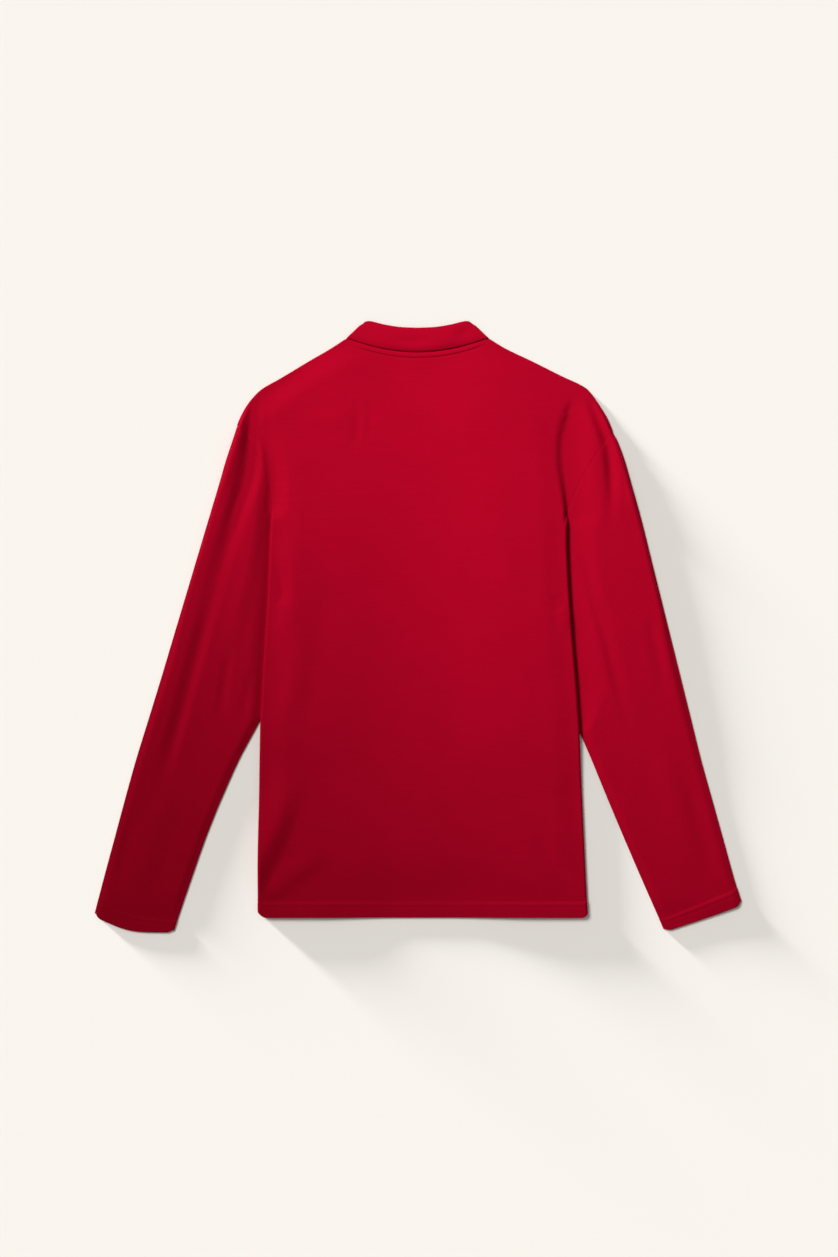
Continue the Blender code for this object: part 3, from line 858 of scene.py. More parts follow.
@dataclass(frozen=True)
class Hem:
    """A turned-up hem: doubled cloth that ends at twin rows of cover stitch."""

    depth: float = 18.5
    rows: tuple[float, float] = (13.0, 18.0)
    swell: float = 1.3
    groove: float = 0.3
    pucker: float = 0.12

    def share(self, reach: Array) -> Array:
        """1 in the doubled cloth and 0 above it, by the distance from the edge."""
        return fade(reach, self.depth - 0.8, self.depth + 1.2)

    def press(self, height: Array, reach: Array, across: Array) -> Array:
        """Thickens a layer's height in the hem and pulls it down at the stitches.

        Args:
            height: the layer's height.
            reach: how far each point is from the edge.
            across: how far each point is along the hem.

        Returns:
            The height with the hem in it.
        """
        swollen = height * (1.0 + (self.swell - 1.0) * self.share(reach))
        wave = np.sin(across / 2.3) + np.sin(across / 3.9 + 1.0) + 0.7 * np.sin(across / 6.1 + 2.0)
        near = sum(np.exp(-(((reach - row) / 3.0) ** 2)) for row in self.rows)
        return swollen - self.groove * self.dents(reach) + self.pucker * wave * near / 2.0

    def dents(self, reach: Array) -> Array:
        """How far the stitches pull the cloth in, from 0 to 1, by the distance from the edge."""
        return sum(np.exp(-(((reach - row) / 0.8) ** 2)) for row in self.rows)

    def underside(self, height: Array | float, reach: Array) -> Array:
        """Thickens an under layer's height in the hem and lifts it at the stitches."""
        return height * (1.0 + (self.swell - 1.0) * self.share(reach)) + 0.25 * self.dents(reach)

    def steps(self, upto: float, pitch: float) -> Array:
        """Distances from the edge for the rows of a grid, close together in the hem.

        Args:
            upto: the last distance.
            pitch: how far apart the rows above the hem are.

        Returns:
            The distances.
        """
        low, high = self.rows
        to_low = [0.0, 1.0, 2.5, 4.5, 7.0, 9.5, 11.2, 12.2, low]
        to_high = [13.8, 14.8, 16.2, 17.2, high, 18.8, 19.8, 21.5]
        return np.concatenate([to_low, to_high, np.arange(24.0, upto, pitch)])


HEM = Hem()


class EdgeLine(NamedTuple):
    """The line up a panel's side where its fold or lip begins."""

    x: Array
    y: Array
    way_x: Array
    way_y: Array
    radius: Array | float = 0.0
    angle: Array | float = 0.0


@dataclass
class BodyPanel:
    """The back or front of the body, one piece of jersey with its sides turned under."""

    name: str
    node: str
    height: Callable[[Array, Array], Array]
    neck_drop: float
    neck_power: float
    fold_radius: float
    pitch: float
    is_back: bool
    drape: Drape = field(default_factory=Drape)
    lip_radius: float = 0.7
    lip_angle: float = math.radians(60.0)
    fold_steps: int = 8
    flap_steps: int = 12
    lip_steps: int = 3
    armhole_rows: int = 32
    top_steps: tuple[float, ...] = (16.0, 13.0, 10.5, 9.0, 8.2, 7.5, 6.8, 6.0, 5.0, 3.5, 2.0, 1.0, 0.0)
    seam_inset: float = 0.85
    topstitch: float = 6.6
    corner_run: float = 60.0
    bend_ramp: float = 20.0

    def neck_y(self, x: Array) -> Array:
        """The y of the neck seam."""
        share = np.clip(np.abs(x) / NECK_HALF_WIDTH, 0.0, 1.0)
        return NECK_CORNER_Y - self.neck_drop * (1.0 - share**self.neck_power)

    def top_y(self, x: Array) -> Array:
        """The y of the panel's top edge: shoulders and neck.

        Args:
            x: places across the plan.

        Returns:
            The y at each place.
        """
        left = y_at(LEFT.shoulder, x)
        right = y_at(RIGHT.shoulder[::-1], x)
        shoulders = np.where(x > 0.0, right, left)
        return np.where(np.abs(x) <= NECK_HALF_WIDTH, self.neck_y(x), shoulders)

    def neck_strip(self, x: Array, y: Array) -> Array:
        """How far the seam allowance lifts the cloth under the neck seam, down to its topstitching.

        Args:
            x: places across the plan.
            y: places along the plan.

        Returns:
            The lift at each place, below zero at the topstitching.
        """
        below = self.neck_y(x) - y
        ends = fade(np.abs(x), 70.0, 87.0) * self.is_back
        strip = 0.75 * fade(below, self.topstitch - 1.6, self.topstitch) * (1.0 - fade(below, 0.4, 2.0))
        return ends * (strip - 0.35 * np.exp(-(((below - self.topstitch - 0.4) / 0.9) ** 2)))

    def stitch_lines(self) -> list[Array]:
        """The lines that the hem's and neck's stitches follow on the cloth's outer face.

        Returns:
            Lines of points.
        """
        lines = []
        inset = 5.0 if self.is_back else 12.0
        for row in HEM.rows:
            level = HEM_Y + row
            ends = [float(x_at(side.fold, level)) - side.sign * inset for side in SIDES]
            x = np.linspace(ends[0], ends[1], 400)
            hem_y, y = np.full(x.shape, HEM_Y), np.full(x.shape, level)
            rise = sum(corner_rise(side.hem_corner, side.inward(x, hem_y)) for side in SIDES)
            z = HEM.press(self.height(x, y), y - HEM_Y, x) + WALL * HEM.swell / 2
            z = z if self.is_back else np.full(x.shape, 0.2)
            lines.append(np.stack([x, y + rise * (1.0 - row / self.corner_run), z], axis=1))
        if self.is_back:
            x = np.linspace(-86.0, 86.0, 160)
            y = self.neck_y(x) - self.topstitch - 0.4
            lines.append(np.stack([x, y, self.height(x, y) + self.neck_strip(x, y) + WALL / 2], axis=1))
        return lines

    def neck_line(self) -> Array:
        """The neck seam from left to right."""
        x = np.linspace(-88.6, 88.6, 90)
        return np.stack([x, self.neck_y(x)], axis=1)

    def edge(self, side: BodySide, count: int) -> EdgeLine:
        """The line up the panel's side, along the fold and then the armhole.

        Args:
            side: which side.
            count: how many rows lie below where the sleeve emerges.

        Returns:
            The line, with its outward way at each row.
        """
        reach = HEM.steps(side.emerge_y - HEM_Y - self.pitch / 2, self.pitch)
        reach = np.interp(np.linspace(0, 1, count), np.linspace(0, 1, len(reach)), reach)
        low_y = HEM_Y + reach
        close = 1.0 - 0.0068 * np.array(self.top_steps)
        shares = np.concatenate([np.linspace(0.0, close[0] - 0.02, self.armhole_rows), close])
        top_x, top_y = along(side.armhole, shares)
        x = np.concatenate([x_at(side.fold, low_y), top_x])
        y = np.concatenate([low_y, top_y])
        run_x, run_y = np.gradient(x), np.gradient(y)
        length = np.hypot(run_x, run_y)
        turned = fade(-y, -side.emerge_y - 6.0, 24.0 - side.emerge_y)
        way_x = side.sign * (1.0 + (np.abs(run_y) / length - 1.0) * turned)
        way_y = -side.sign * run_x / length * turned
        return EdgeLine(x, y, way_x, way_y)

    def inset_edge(self, side: BodySide, edge: EdgeLine) -> EdgeLine:
        """Where the flat cloth ends and its fold or lip begins.

        Args:
            side: which side.
            edge: the panel's outer edge there.

        Returns:
            The line, with the radius and angle of the bend at each row.
        """
        x, y, way_x, way_y = edge[:4]
        ramp = fade(y, side.emerge_y - self.bend_ramp, side.emerge_y)
        share = side.flap_share(y)
        room = PITCH * (1.0 + 2.0 * share) if self.is_back else PITCH * share
        angle = np.arccos(np.clip(1.0 - room / self.fold_radius, -1.0, 1.0))
        radius = np.full(y.shape, self.fold_radius)
        if self.is_back:
            radius = self.lip_radius + (self.fold_radius - self.lip_radius) * ramp
            angle = self.lip_angle + (angle - self.lip_angle) * ramp
        seam = self.seam_inset * (1.0 - 0.8 * fade(np.hypot(x - x[-1], y - y[-1]), 0.5, 4.0))
        inset = np.maximum(RIGHT.fold_radius * ramp + WALL / 2, seam)
        return EdgeLine(x - way_x * inset, y - way_y * inset, way_x, way_y, radius, angle)

    def sheet(self, edges: list[EdgeLine], insets: list[EdgeLine]) -> Array:
        """The panel between its folds.

        Args:
            edges: its left and right outer edges.
            insets: where its left and right folds begin.

        Returns:
            Rows of columns of points.
        """
        columns = int((edges[1].x[0] - edges[0].x[0]) / self.pitch)
        corner = np.array((0.0, 0.002, 0.006))
        spread = np.linspace(-1.0, 1.0, columns)
        spread = 0.5 + 0.49 * (spread + 0.28 * (spread - spread**3))
        share = np.concatenate([corner, spread, 1.0 - corner[::-1]])
        left, right = insets
        x = left.x[:, None] + (right.x - left.x)[:, None] * share
        y = left.y[:, None] + (right.y - left.y)[:, None] * share
        level = (edges[0].y + edges[1].y) / 2.0
        bow = np.clip((level - 20.0) / (level[-1] - 20.0), 0.0, 1.0) ** 1.25
        y = y + bow[:, None] * (self.top_y(x[-1]) - (WALL / 2 + 0.3) - y[-1])[None, :]
        z = self.height(x, y)
        reach = y - HEM_Y
        z = HEM.press(z, reach, x) if self.is_back else HEM.underside(z, reach)
        return np.stack([x, y, z + self.neck_strip(x, y)], axis=2)

    def build(self, finish: bpy.types.Material) -> bpy.types.Object:
        """Makes the panel.

        Args:
            finish: its jersey.

        Returns:
            The piece.
        """
        rows = len(HEM.steps(LEFT.emerge_y - HEM_Y - self.pitch / 2, self.pitch))
        edges = [self.edge(side, rows) for side in SIDES]
        insets = [self.inset_edge(side, edge) for side, edge in zip(SIDES, edges)]
        surface = self.sheet(edges, insets)
        x, z = surface[..., 0], surface[..., 2]
        step = np.hypot(np.diff(x, axis=1, prepend=x[:, :1]), np.diff(z, axis=1, prepend=z[:, :1]))
        across = np.cumsum(step, axis=1)
        middle = across.shape[1] // 2
        flat = np.stack([across - across[:, middle : middle + 1], surface[..., 1]], axis=2)
        blocks, cloths = [surface], [flat]
        for side, inset, column in zip(SIDES, insets, (0, -1)):
            strip, strip_cloth = self.turned(side, surface[:, column], inset)
            start = flat[:, column, None] * np.array((1.0, 0.0))
            strip_cloth = strip_cloth * np.array((side.sign, 1.0)) + start
            if column == 0:
                blocks.insert(0, strip[:, ::-1])
                cloths.insert(0, strip_cloth[:, ::-1])
            else:
                blocks.append(strip)
                cloths.append(strip_cloth)
        points = np.concatenate(blocks, axis=1)
        cloth = np.concatenate(cloths, axis=1)
        near = np.clip(1.0 - (points[..., 1] - HEM_Y) / self.corner_run, 0.0, 1.0)
        for side in SIDES:
            depth = np.maximum(0.0, side.inward(points[..., 0], np.full(near.shape, HEM_Y)))
            points[..., 1] += corner_rise(side.hem_corner, depth) * near
        lips, lip_cloth = self.top_lip(points, cloth, blocks[0].shape[1])
        mesh = grid_mesh(np.concatenate([points, lips]), np.concatenate([cloth, lip_cloth]))
        hem_top = (HEM_Y - MIDDLE.y + HEM.depth + 0.3) * MM
        doubled = [vert.index for vert in mesh.verts if vert.co.y < hem_top]
        piece = finished(self.name, mesh, finish)
        thicken(piece, WALL, doubled)
        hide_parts(self.node)
        return piece

    def turned(self, side: BodySide, edge: Array, bend: EdgeLine) -> tuple[Array, Array]:
        """The fold down one side and the cloth that it turns under.

        Args:
            side: which side.
            edge: the sheet's last column on that side.
            bend: the same line, with its outward way, radius and angle.

        Returns:
            The columns from the edge inward and under, and where they are on the flat cloth.
        """
        y = edge[:, 1]
        hem = 1.0 + (HEM.swell - 1.0) * HEM.share(y - HEM_Y)
        layer = PITCH if self.is_back else 0.0
        radius = bend.radius[:, None]
        turn = np.linspace(0.0, 1.0, self.fold_steps + 1)[1:] * bend.angle[:, None]
        out = radius * np.sin(turn)
        plain = self.drape.front(edge[:, 0], y) + layer
        spare = (edge[:, 2] - plain * hem) / 2.0 * (bend.angle / math.pi) ** 2
        down = (bend.radius * hem + spare)[:, None] * (1.0 - np.cos(turn))
        fold_x = edge[:, :1] + bend.way_x[:, None] * out
        fold_y = edge[:, 1:2] + bend.way_y[:, None] * out
        fold = np.stack([fold_x, fold_y, edge[:, 2:3] - down], axis=2)
        flap_top = side.emerge_y - 2 * side.emerge_ramp
        depth = np.maximum(0.0, side.flap_depth(y) - (RIGHT.fold_radius + WALL / 2) - 1.0)
        depth = (depth * fade(y, flap_top - 16.0, flap_top - 2.0))[:, None]
        shares = np.linspace(0.0, 1.0, self.flap_steps + 1)[1:]
        flap_x = edge[:, :1] - side.sign * depth * shares
        flap_y = np.repeat(edge[:, 1:2], self.flap_steps, axis=1)
        flap_z = (self.drape.front(flap_x, flap_y) + layer - 2 * radius) * hem[:, None]
        flap = np.stack([flap_x, flap_y, flap_z], axis=2)
        flap = np.where(depth[..., None] > 0.0, flap, fold[:, -1:])
        wide = np.concatenate([radius * turn, radius * math.pi + depth * shares], axis=1)
        cloth = np.stack([wide, np.repeat(y[:, None], wide.shape[1], axis=1)], axis=2)
        return np.concatenate([fold, flap], axis=1), cloth

    def top_lip(self, points: Array, cloth: Array, side_columns: int) -> tuple[Array, Array]:
        """The lips that the shoulder and neck edges make towards their seams.

        Args:
            points: the panel so far.
            cloth: where its points are on the flat cloth.
            side_columns: how many columns at each side are folds and flaps.

        Returns:
            The extra rows, and where they are on the flat cloth.
        """
        edge = points[-1]
        run_x, run_y = np.gradient(edge[:, 0]), np.gradient(edge[:, 1])
        length = np.maximum(np.hypot(run_x, run_y), 1e-9)
        way_x, way_y = -run_y / length, run_x / length
        inner = slice(side_columns, -side_columns)
        inside, flat = np.zeros(len(edge), bool), np.zeros(len(edge))
        inside[inner] = True
        x, y = edge[inner, 0], edge[inner, 1]
        flat[inner] = np.maximum(PITCH, self.drape.back(x, y) - self.drape.front(x, y)) / 2.0
        at_neck = np.abs(edge[:, 0]) < NECK_HALF_WIDTH - 1.0
        radius = np.where(at_neck, 0.8, flat)
        angle = np.where(at_neck, math.radians(55.0), math.radians(84.0))
        way = 1.0 if self.is_back else np.where(at_neck, 0.0, -1.0)
        rows, cloths = [], []
        for k in range(1, self.lip_steps + 1):
            turn = angle * k / self.lip_steps
            out = np.minimum(radius, 0.9) * np.sin(turn) * inside
            down = radius * (1.0 - np.cos(turn)) * way * inside
            moved = np.stack([way_x * out, way_y * out, -down], axis=1)
            rows.append(edge + moved)
            cloths.append(cloth[-1] + np.array((0.0, 0.8 * k)))
        return np.stack(rows), np.stack(cloths)


@dataclass
class Sleeve:
    """One sleeve: a tube of jersey laid flat, tucked under the body towards the armpit."""

    side: BodySide
    drape: Drape
    pitch: float = 3.0
    length: float = 560.0
    edge_radius: float = PITCH / 2
    edge_inset: float = 1.8
    cuff_corner: float = 10.0
    seam_inset: float = 0.75
    edge_steps: int = 6
    lip_steps: int = 3
    columns: int = 52
    lip_radius: float = 0.7
    stitch_lines: list[Array] = field(default_factory=list)

    def end(self, share: Array) -> tuple[Array, Array]:
        """The sleeve's upper end, down the armhole seam and then under the body to the armpit.

        Args:
            share: how far down it, from 0 to 1.

        Returns:
            x and y at each share.
        """
        side = self.side
        top = side.emerge_y - side.emerge_ramp
        line = side.armhole[::-1]
        line += (Place(float(x_at(side.fold, top)) - side.sign * 3.0, top),)
        line += side.tucked
        return along(line, share)

    def seam_share(self) -> float:
        """How much of the upper end is the armhole seam."""
        return (len(self.side.armhole) - 1) / (len(self.side.armhole) + len(self.side.tucked))

    def plan(self, v: Array, u: Array) -> tuple[Array, Array]:
        """Places of the laid sleeve.

        Args:
            v: how far up the sleeve, from 0 at the cuff.
            u: how far across it, from 0 at its outer edge.

        Returns:
            x and y of each.
        """
        side = self.side
        cuff = tuple(sorted(side.cuff))
        out, inn = (cuff[-1], cuff[0]) if side.sign > 0 else (cuff[0], cuff[-1])
        end_x, end_y = self.end(u)
        top_out, top_in = side.armhole[-1], side.tucked[-1]
        out_y = out.y + (top_out.y - out.y) * v
        in_y = inn.y + (top_in.y - inn.y) * v
        x = x_at(side.outer, out_y) * (1.0 - u) + x_at(side.inner, in_y) * u
        y = out_y * (1.0 - u) + in_y * u
        flat_x = out.x + (inn.x - out.x) * u
        sag = y_at(cuff, flat_x) - (out.y + (inn.y - out.y) * u)
        pull = v**3
        x = x + (end_x - top_out.x - (top_in.x - top_out.x) * u) * pull
        y = y + (end_y - top_out.y - (top_in.y - top_out.y) * u) * pull + sag * (1.0 - v) ** 3
        return x, y

    def build(self, finish: bpy.types.Material) -> bpy.types.Object:
        """Makes the sleeve.

        Args:
            finish: its jersey.

        Returns:
            The piece.
        """
        side = self.side
        width = math.hypot(side.cuff[-1].x - side.cuff[0].x, side.cuff[-1].y - side.cuff[0].y)
        steps = HEM.steps(self.length, self.pitch)
        steps[-1] = self.length
        v = (steps / self.length)[:, None]
        low_u, high_u = np.zeros((1, 1)), np.ones((1, 1))
        spans = [a - b for a, b in zip(self.plan(v, high_u), self.plan(v, low_u))]
        widths = np.maximum(width, np.hypot(*spans))
        columns = self.columns
        inset = self.edge_inset / widths
        u = inset + (1.0 - 2.0 * inset) * np.linspace(0.0, 1.0, columns)
        depth = np.minimum(u, 1.0 - u) * widths
        rise = corner_rise(self.cuff_corner, depth) / self.length
        v_at = v + rise * np.clip(1.0 - v / 0.06, 0.0, 1.0)
        x, y = self.plan(v_at, u)
        reach = np.repeat(steps[:, None], columns, axis=1)
        across = u * widths
        seam = self.seam_share()
        in_seam = fade(u[-1], seam - 0.03, seam + 0.02) * (1.0 - 0.8 * fade(across[-1], 2.5, 6.0))
        tip = fade(self.length - steps, 0.0, 8.0)[:, None]
        run_x, run_y = np.gradient(x[-1]), np.gradient(y[-1])
        run = np.hypot(run_x, run_y)
        way_x, way_y = side.sign * run_y / run, -side.sign * run_x / run
        x = x - way_x * self.seam_inset * in_seam * tip
        y = y - way_y * self.seam_inset * in_seam * tip
        upper_z = HEM.press(self.drape.sleeve(side, x, y), reach, across)
        swell = 1.0 + (HEM.swell - 1.0) * HEM.share(reach)
        lower_z = HEM.underside(FIRST_LAYER, reach)
        upper = np.stack([x, y, upper_z], axis=2)
        lower = np.stack([x, y, lower_z], axis=2)
        edge_z = SECOND_LAYER * swell
        upper[:, 0, 2] = edge_z[:, 0]
        upper[:, -1, 2] = edge_z[:, -1]
        outer = self.rolled(upper[:, 0], lower[:, 0], side.sign)
        inner = self.rolled(upper[:, -1], lower[:, -1], -side.sign)
        points = np.concatenate([upper, inner, lower[:, ::-1], outer[:, ::-1], upper[:, :1]], axis=1)
        half = across[:, -1:] + 4.0
        edge = np.linspace(0.5, 3.0, self.edge_steps - 1)
        under = half + across[:, -1:] - across[:, ::-1]
        cloth_x = np.concatenate(
            [across, across[:, -1:] + edge, under, 2 * half - 4.0 + edge, 2 * half], axis=1
        )
        cloth = np.stack([cloth_x, np.repeat(steps[:, None], cloth_x.shape[1], axis=1)], axis=2)
        way = np.stack([way_x, way_y], axis=1) * in_seam[:, None]
        lips, lip_cloth = self.seam_lip(points[-1], cloth[-1], way, in_seam)
        for row in HEM.rows:
            spot = int(np.argmin(np.abs(steps - row)))
            under_side = lower[spot, 3:-3].copy()
            under_side[:, 2] = 0.2
            self.stitch_lines += [upper[spot, 2:-2] + np.array((0.0, 0.0, WALL * HEM.swell / 2)), under_side]
        mesh = grid_mesh(np.concatenate([points, lips]), np.concatenate([cloth, lip_cloth]))
        line = in_metres(points[int(np.searchsorted(steps, HEM.depth + 0.3))])
        line = line[np.argsort(line[:, 0])]
        doubled = [
            vert.index for vert in mesh.verts
            if vert.co.y < min(-0.3, np.interp(vert.co.x, line[:, 0], line[:, 1]))
        ]
        piece = finished("sleeve_" + side.name + "_cloth", mesh, finish)
        thicken(piece, WALL, doubled)
        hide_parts("sleeve_" + side.name)
        return piece

    def rolled(self, top: Array, bottom: Array, way: float) -> Array:
        """The columns of a rolled edge between the upper and lower layers.

        Args:
            top: the upper layer's edge.
            bottom: the lower layer's edge.
            way: which way along x the edge rolls out.

        Returns:
            The columns between the two.
        """
        columns = []
        for k in range(1, self.edge_steps):
            turn = math.pi * k / self.edge_steps
            middle = (top + bottom) / 2.0
            point = middle + (top - middle) * math.cos(turn)
            point[:, 0] = top[:, 0] + way * (self.edge_inset - WALL / 2 - 0.2) * math.sin(turn)
            columns.append(point)
        return np.stack(columns, axis=1)

    def seam_lip(self, edge: Array, cloth: Array, way: Array, in_seam: Array) -> tuple[Array, Array]:
        """The lip that the sleeve's upper layer makes down into the armhole seam.

        Args:
            edge: the tube's upper end.
            cloth: where its points are on the flat cloth.
            way: which way the seam lies from each column of the upper layer, where it has one.
            in_seam: 1 for columns in the armhole seam.

        Returns:
            The extra rows, and where they are on the flat cloth.
        """
        shift = np.zeros(edge.shape)
        rows, cloths = [], []
        for k in range(1, self.lip_steps + 1):
            turn = math.radians(60.0) * k / self.lip_steps
            shift[: self.columns, :2] = self.lip_radius * math.sin(turn) * way
            shift[: self.columns, 2] = -self.lip_radius * (1.0 - math.cos(turn)) * in_seam
            rows.append(edge + shift)
            cloths.append(cloth + np.array((0.0, 0.5 * k)))
        return np.stack(rows), np.stack(cloths)


class BandColumn(NamedTuple):
    """One upright line of the band: its ends on the plan, its outward way and its height."""

    low: Array
    top: Array
    normal: tuple[float, float, float]
    height: float


@dataclass
class NeckBand:
    """The stand-up neckband: one strip of rib folded double along its top edge, laid flat."""

    back_drop: float = 17.5
    back_power: float = 2.0
    front_drop: float = 74.0
    front_power: float = 2.2
    top_half_width: float = 68.0
    end_y: float = 377.0
    front_top_drop: float = 61.5
    seam_gap: float = 0.35
    end_inset: float = 0.4
    end_round: float = 5.0
    fold_apart: float = 0.42
    layer_wall: float = 0.76
    columns: int = 90
    end_steps: int = 10
    rise_steps: int = 12
    top: Places = places(
        0.0, 372.0, 22.0, 373.0, 42.0, 376.2, 54.0, 379.2, 60.0, 380.3, 65.0, 379.6, 68.0, 377.0
    )

    def half(self, is_back: bool) -> tuple[Array, Array]:
        """The bottom and top lines of one flat half, from its left end to its right.

        Args:
            is_back: whether it is the back half.

        Returns:
            Rows of places for the bottom and the top.
        """
        end_turn = math.pi / 2 * 0.92
        t = np.sin(np.linspace(-end_turn, end_turn, self.columns + 1)) / math.sin(end_turn)
        drop, power = (self.back_drop, self.back_power) if is_back else (self.front_drop, self.front_power)
        slope = drop * power * np.abs(t) ** (power - 1) * np.sign(t) / NECK_HALF_WIDTH
        scale = self.seam_gap / np.hypot(1.0, slope)
        low_x = (NECK_HALF_WIDTH - self.end_inset) * t - slope * scale
        low_y = NECK_CORNER_Y - drop * (1.0 - np.abs(t) ** power) + scale
        low_y = low_y - 0.9 * (1.0 - fade(np.abs(t), 0.94, 1.0))
        top_x = self.top_half_width * t
        if is_back:
            top_y = y_at(self.top, np.abs(t) * self.top_half_width)
        else:
            top_y = self.end_y - self.front_top_drop * (1.0 - np.abs(t) ** self.front_power)
        return np.stack([low_x, low_y], axis=1), np.stack([top_x, top_y], axis=1)

    def build(self, finish: bpy.types.Material) -> bpy.types.Object:
        """Makes the band.

        Args:
            finish: its rib.

        Returns:
            The piece.
        """
        up, down = (0.0, 0.0, 1.0), (0.0, 0.0, -1.0)
        columns = [BandColumn(*ends, up, RIB_SECOND_LAYER) for ends in zip(*self.half(True))]
        front = [BandColumn(*ends, down, RIB_FIRST_LAYER) for ends in zip(*self.half(False))]
        columns += self.end_fold(columns[-1], front[-1], 1.0)
        columns += front[::-1]
        columns += self.end_fold(front[0], columns[0], -1.0)
        columns.append(columns[0])
        lows, tops, normals, heights = (np.array(part) for part in zip(*columns))
        rise = tops - lows
        tall = np.hypot(rise[:, 0], rise[:, 1])
        rise = rise / tall[:, None]
        run = lengths((lows + tops) / 2)
        rows, cloths = [], []
        climb = np.linspace(0.0, 1.0, self.rise_steps + 1)
        curl = [(1.0, share, 0.0) for share in climb]
        turns = np.linspace(0.0, math.pi, 7)[1:-1]
        curl += [(math.cos(turn), 1.0, math.sin(turn)) for turn in turns]
        curl += [(-1.0, share, 0.0) for share in climb[::-1]]
        done, last = 0.0, None
        for across, share, over in curl:
            up = (tall - self.fold_apart) * share + self.fold_apart * over
            offset = self.fold_apart * across
            x = lows[:, 0] + rise[:, 0] * up + normals[:, 0] * offset
            y = lows[:, 1] + rise[:, 1] * up + normals[:, 1] * offset
            z = heights + normals[:, 2] * offset + self.hollow(lows, tops, share, heights)
            rows.append(np.stack([x, y, z], axis=1))
            level = float(np.mean(up)) + across * 0.001
            done += 0.05 if last is None else abs(level - last) + 0.05
            last = level
            cloths.append(np.stack([run, np.full(run.shape, done)], axis=1))
        mesh = grid_mesh(np.stack(rows), np.stack(cloths))
        piece = finished("neck_band_rib", mesh, finish)
        thicken(piece, self.layer_wall)
        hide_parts("neck_band")
        return piece

    def hollow(self, lows: Array, tops: Array, share: float, heights: Array) -> Array:
        """How far the back half rises and dips between its ends.

        Args:
            lows: the bottoms of the band's columns.
            tops: their tops.
            share: how far up them, from 0 to 1.
            heights: their heights.

        Returns:
            The rise at each column.
        """
        x = lows[:, 0] + (tops[:, 0] - lows[:, 0]) * share
        y = lows[:, 1] + (tops[:, 1] - lows[:, 1]) * share
        swell = 1.5 * math.sin(math.pi * min(1.0, 0.15 + 0.85 * share)) * fade(np.abs(x), 30.0, 78.0)
        dip = -1.2 * np.exp(-(((x + 4.0) / 22.0) ** 2) - (((y - 356.0) / 6.0) ** 2))
        dip = dip - 1.0 * np.exp(-(((x - 57.0) / 9.0) ** 2) - (((y - 365.0) / 7.0) ** 2))
        on_back = (heights - RIB_FIRST_LAYER) / RIB_PITCH
        free = math.sin(math.pi / 2 * min(1.0, share * 4.0))
        return np.maximum(0.0, swell + 0.9 + dip) * on_back**2 * free

    def end_fold(self, start: BandColumn, stop: BandColumn, way: float) -> list[BandColumn]:
        """The fold at one end of the band.

        Args:
            start: the last column of the half it leaves.
            stop: the first column of the half it meets.
            way: 1 at the right end, going down, and -1 at the left end, going up.

        Returns:
            The columns between the two.
        """
        rise = start.top - start.low
        rise = rise / np.hypot(*rise)
        out = np.array((rise[1], -rise[0])) * way
        columns = []
        for k in range(1, self.end_steps):
            share = k / self.end_steps
            sine, level = math.sin(math.pi * share), math.cos(math.pi * share) * way
            bulge = out * RIB_PITCH / 2 * sine
            low = start.low * (1 - share) + stop.low * share + bulge
            top = start.top * (1 - share) + stop.top * share + bulge - rise * self.end_round * sine
            height = RIB_FIRST_LAYER + RIB_PITCH * (1.0 + level) / 2.0
            columns.append(BandColumn(low, top, (out[0] * sine, out[1] * sine, level), height))
        return columns


@dataclass
class Stitching:
    """Rows of short stitches, each half sunk in the cloth's outer face."""

    name: str
    long: float = 2.3
    pitch: float = 3.0
    wide: float = 0.5
    high: float = 0.38

    def build(self, lines: list[Array], finish: bpy.types.Material) -> bpy.types.Object:
        """Makes the stitches.

        Args:
            lines: the lines of points that they follow, in millimetres.
            finish: their thread.

        Returns:
            The piece.
        """
        mesh = bmesh.new()
        size = Vector((self.long, self.wide, self.high)) * MM
        for line in lines:
            run = lengths(line)
            spots = np.arange(self.pitch / 2, run[-1] - 1.0, self.pitch)
            middles = np.stack([np.interp(spots, run, line[:, k]) for k in range(3)], axis=1)
            ahead = np.stack([np.interp(spots + 1.0, run, line[:, k]) for k in range(3)], axis=1)
            for middle, further in zip(middles, ahead):
                turn = Vector(further - middle).to_track_quat("X", "Z")
                place = Matrix.LocRotScale(Vector(in_metres(middle)), turn, size)
                bmesh.ops.create_uvsphere(mesh, u_segments=6, v_segments=4, radius=0.5, matrix=place)
        return finished(self.name, mesh, finish)


@dataclass
class SeamAllowance:
    """The trimmed cloth edges behind a seam, as one narrow strip that closes its slit."""

    name: str
    height: float
    reach: tuple[float, float]
    wall: float = 0.36

    def build(self, line: Array, finish: bpy.types.Material) -> bpy.types.Object:
        """Makes the strip.

        Args:
            line: the seam, as places in millimetres.
            finish: its jersey.

        Returns:
            The piece.
        """
        run = np.gradient(line, axis=0)
        run = run / np.hypot(run[:, 0], run[:, 1])[:, None]
        across = np.linspace(self.reach[0], self.reach[1], 4)
        rows = [line + np.stack([-run[:, 1], run[:, 0]], axis=1) * step for step in across]
        points = np.stack([np.column_stack([row, np.full(len(row), self.height)]) for row in rows])
        cloth = np.stack([np.column_stack([lengths(line), np.full(len(line), step)]) for step in across])
        piece = finished(self.name, grid_mesh(points, cloth), finish)
        thicken(piece, self.wall)
        return piece


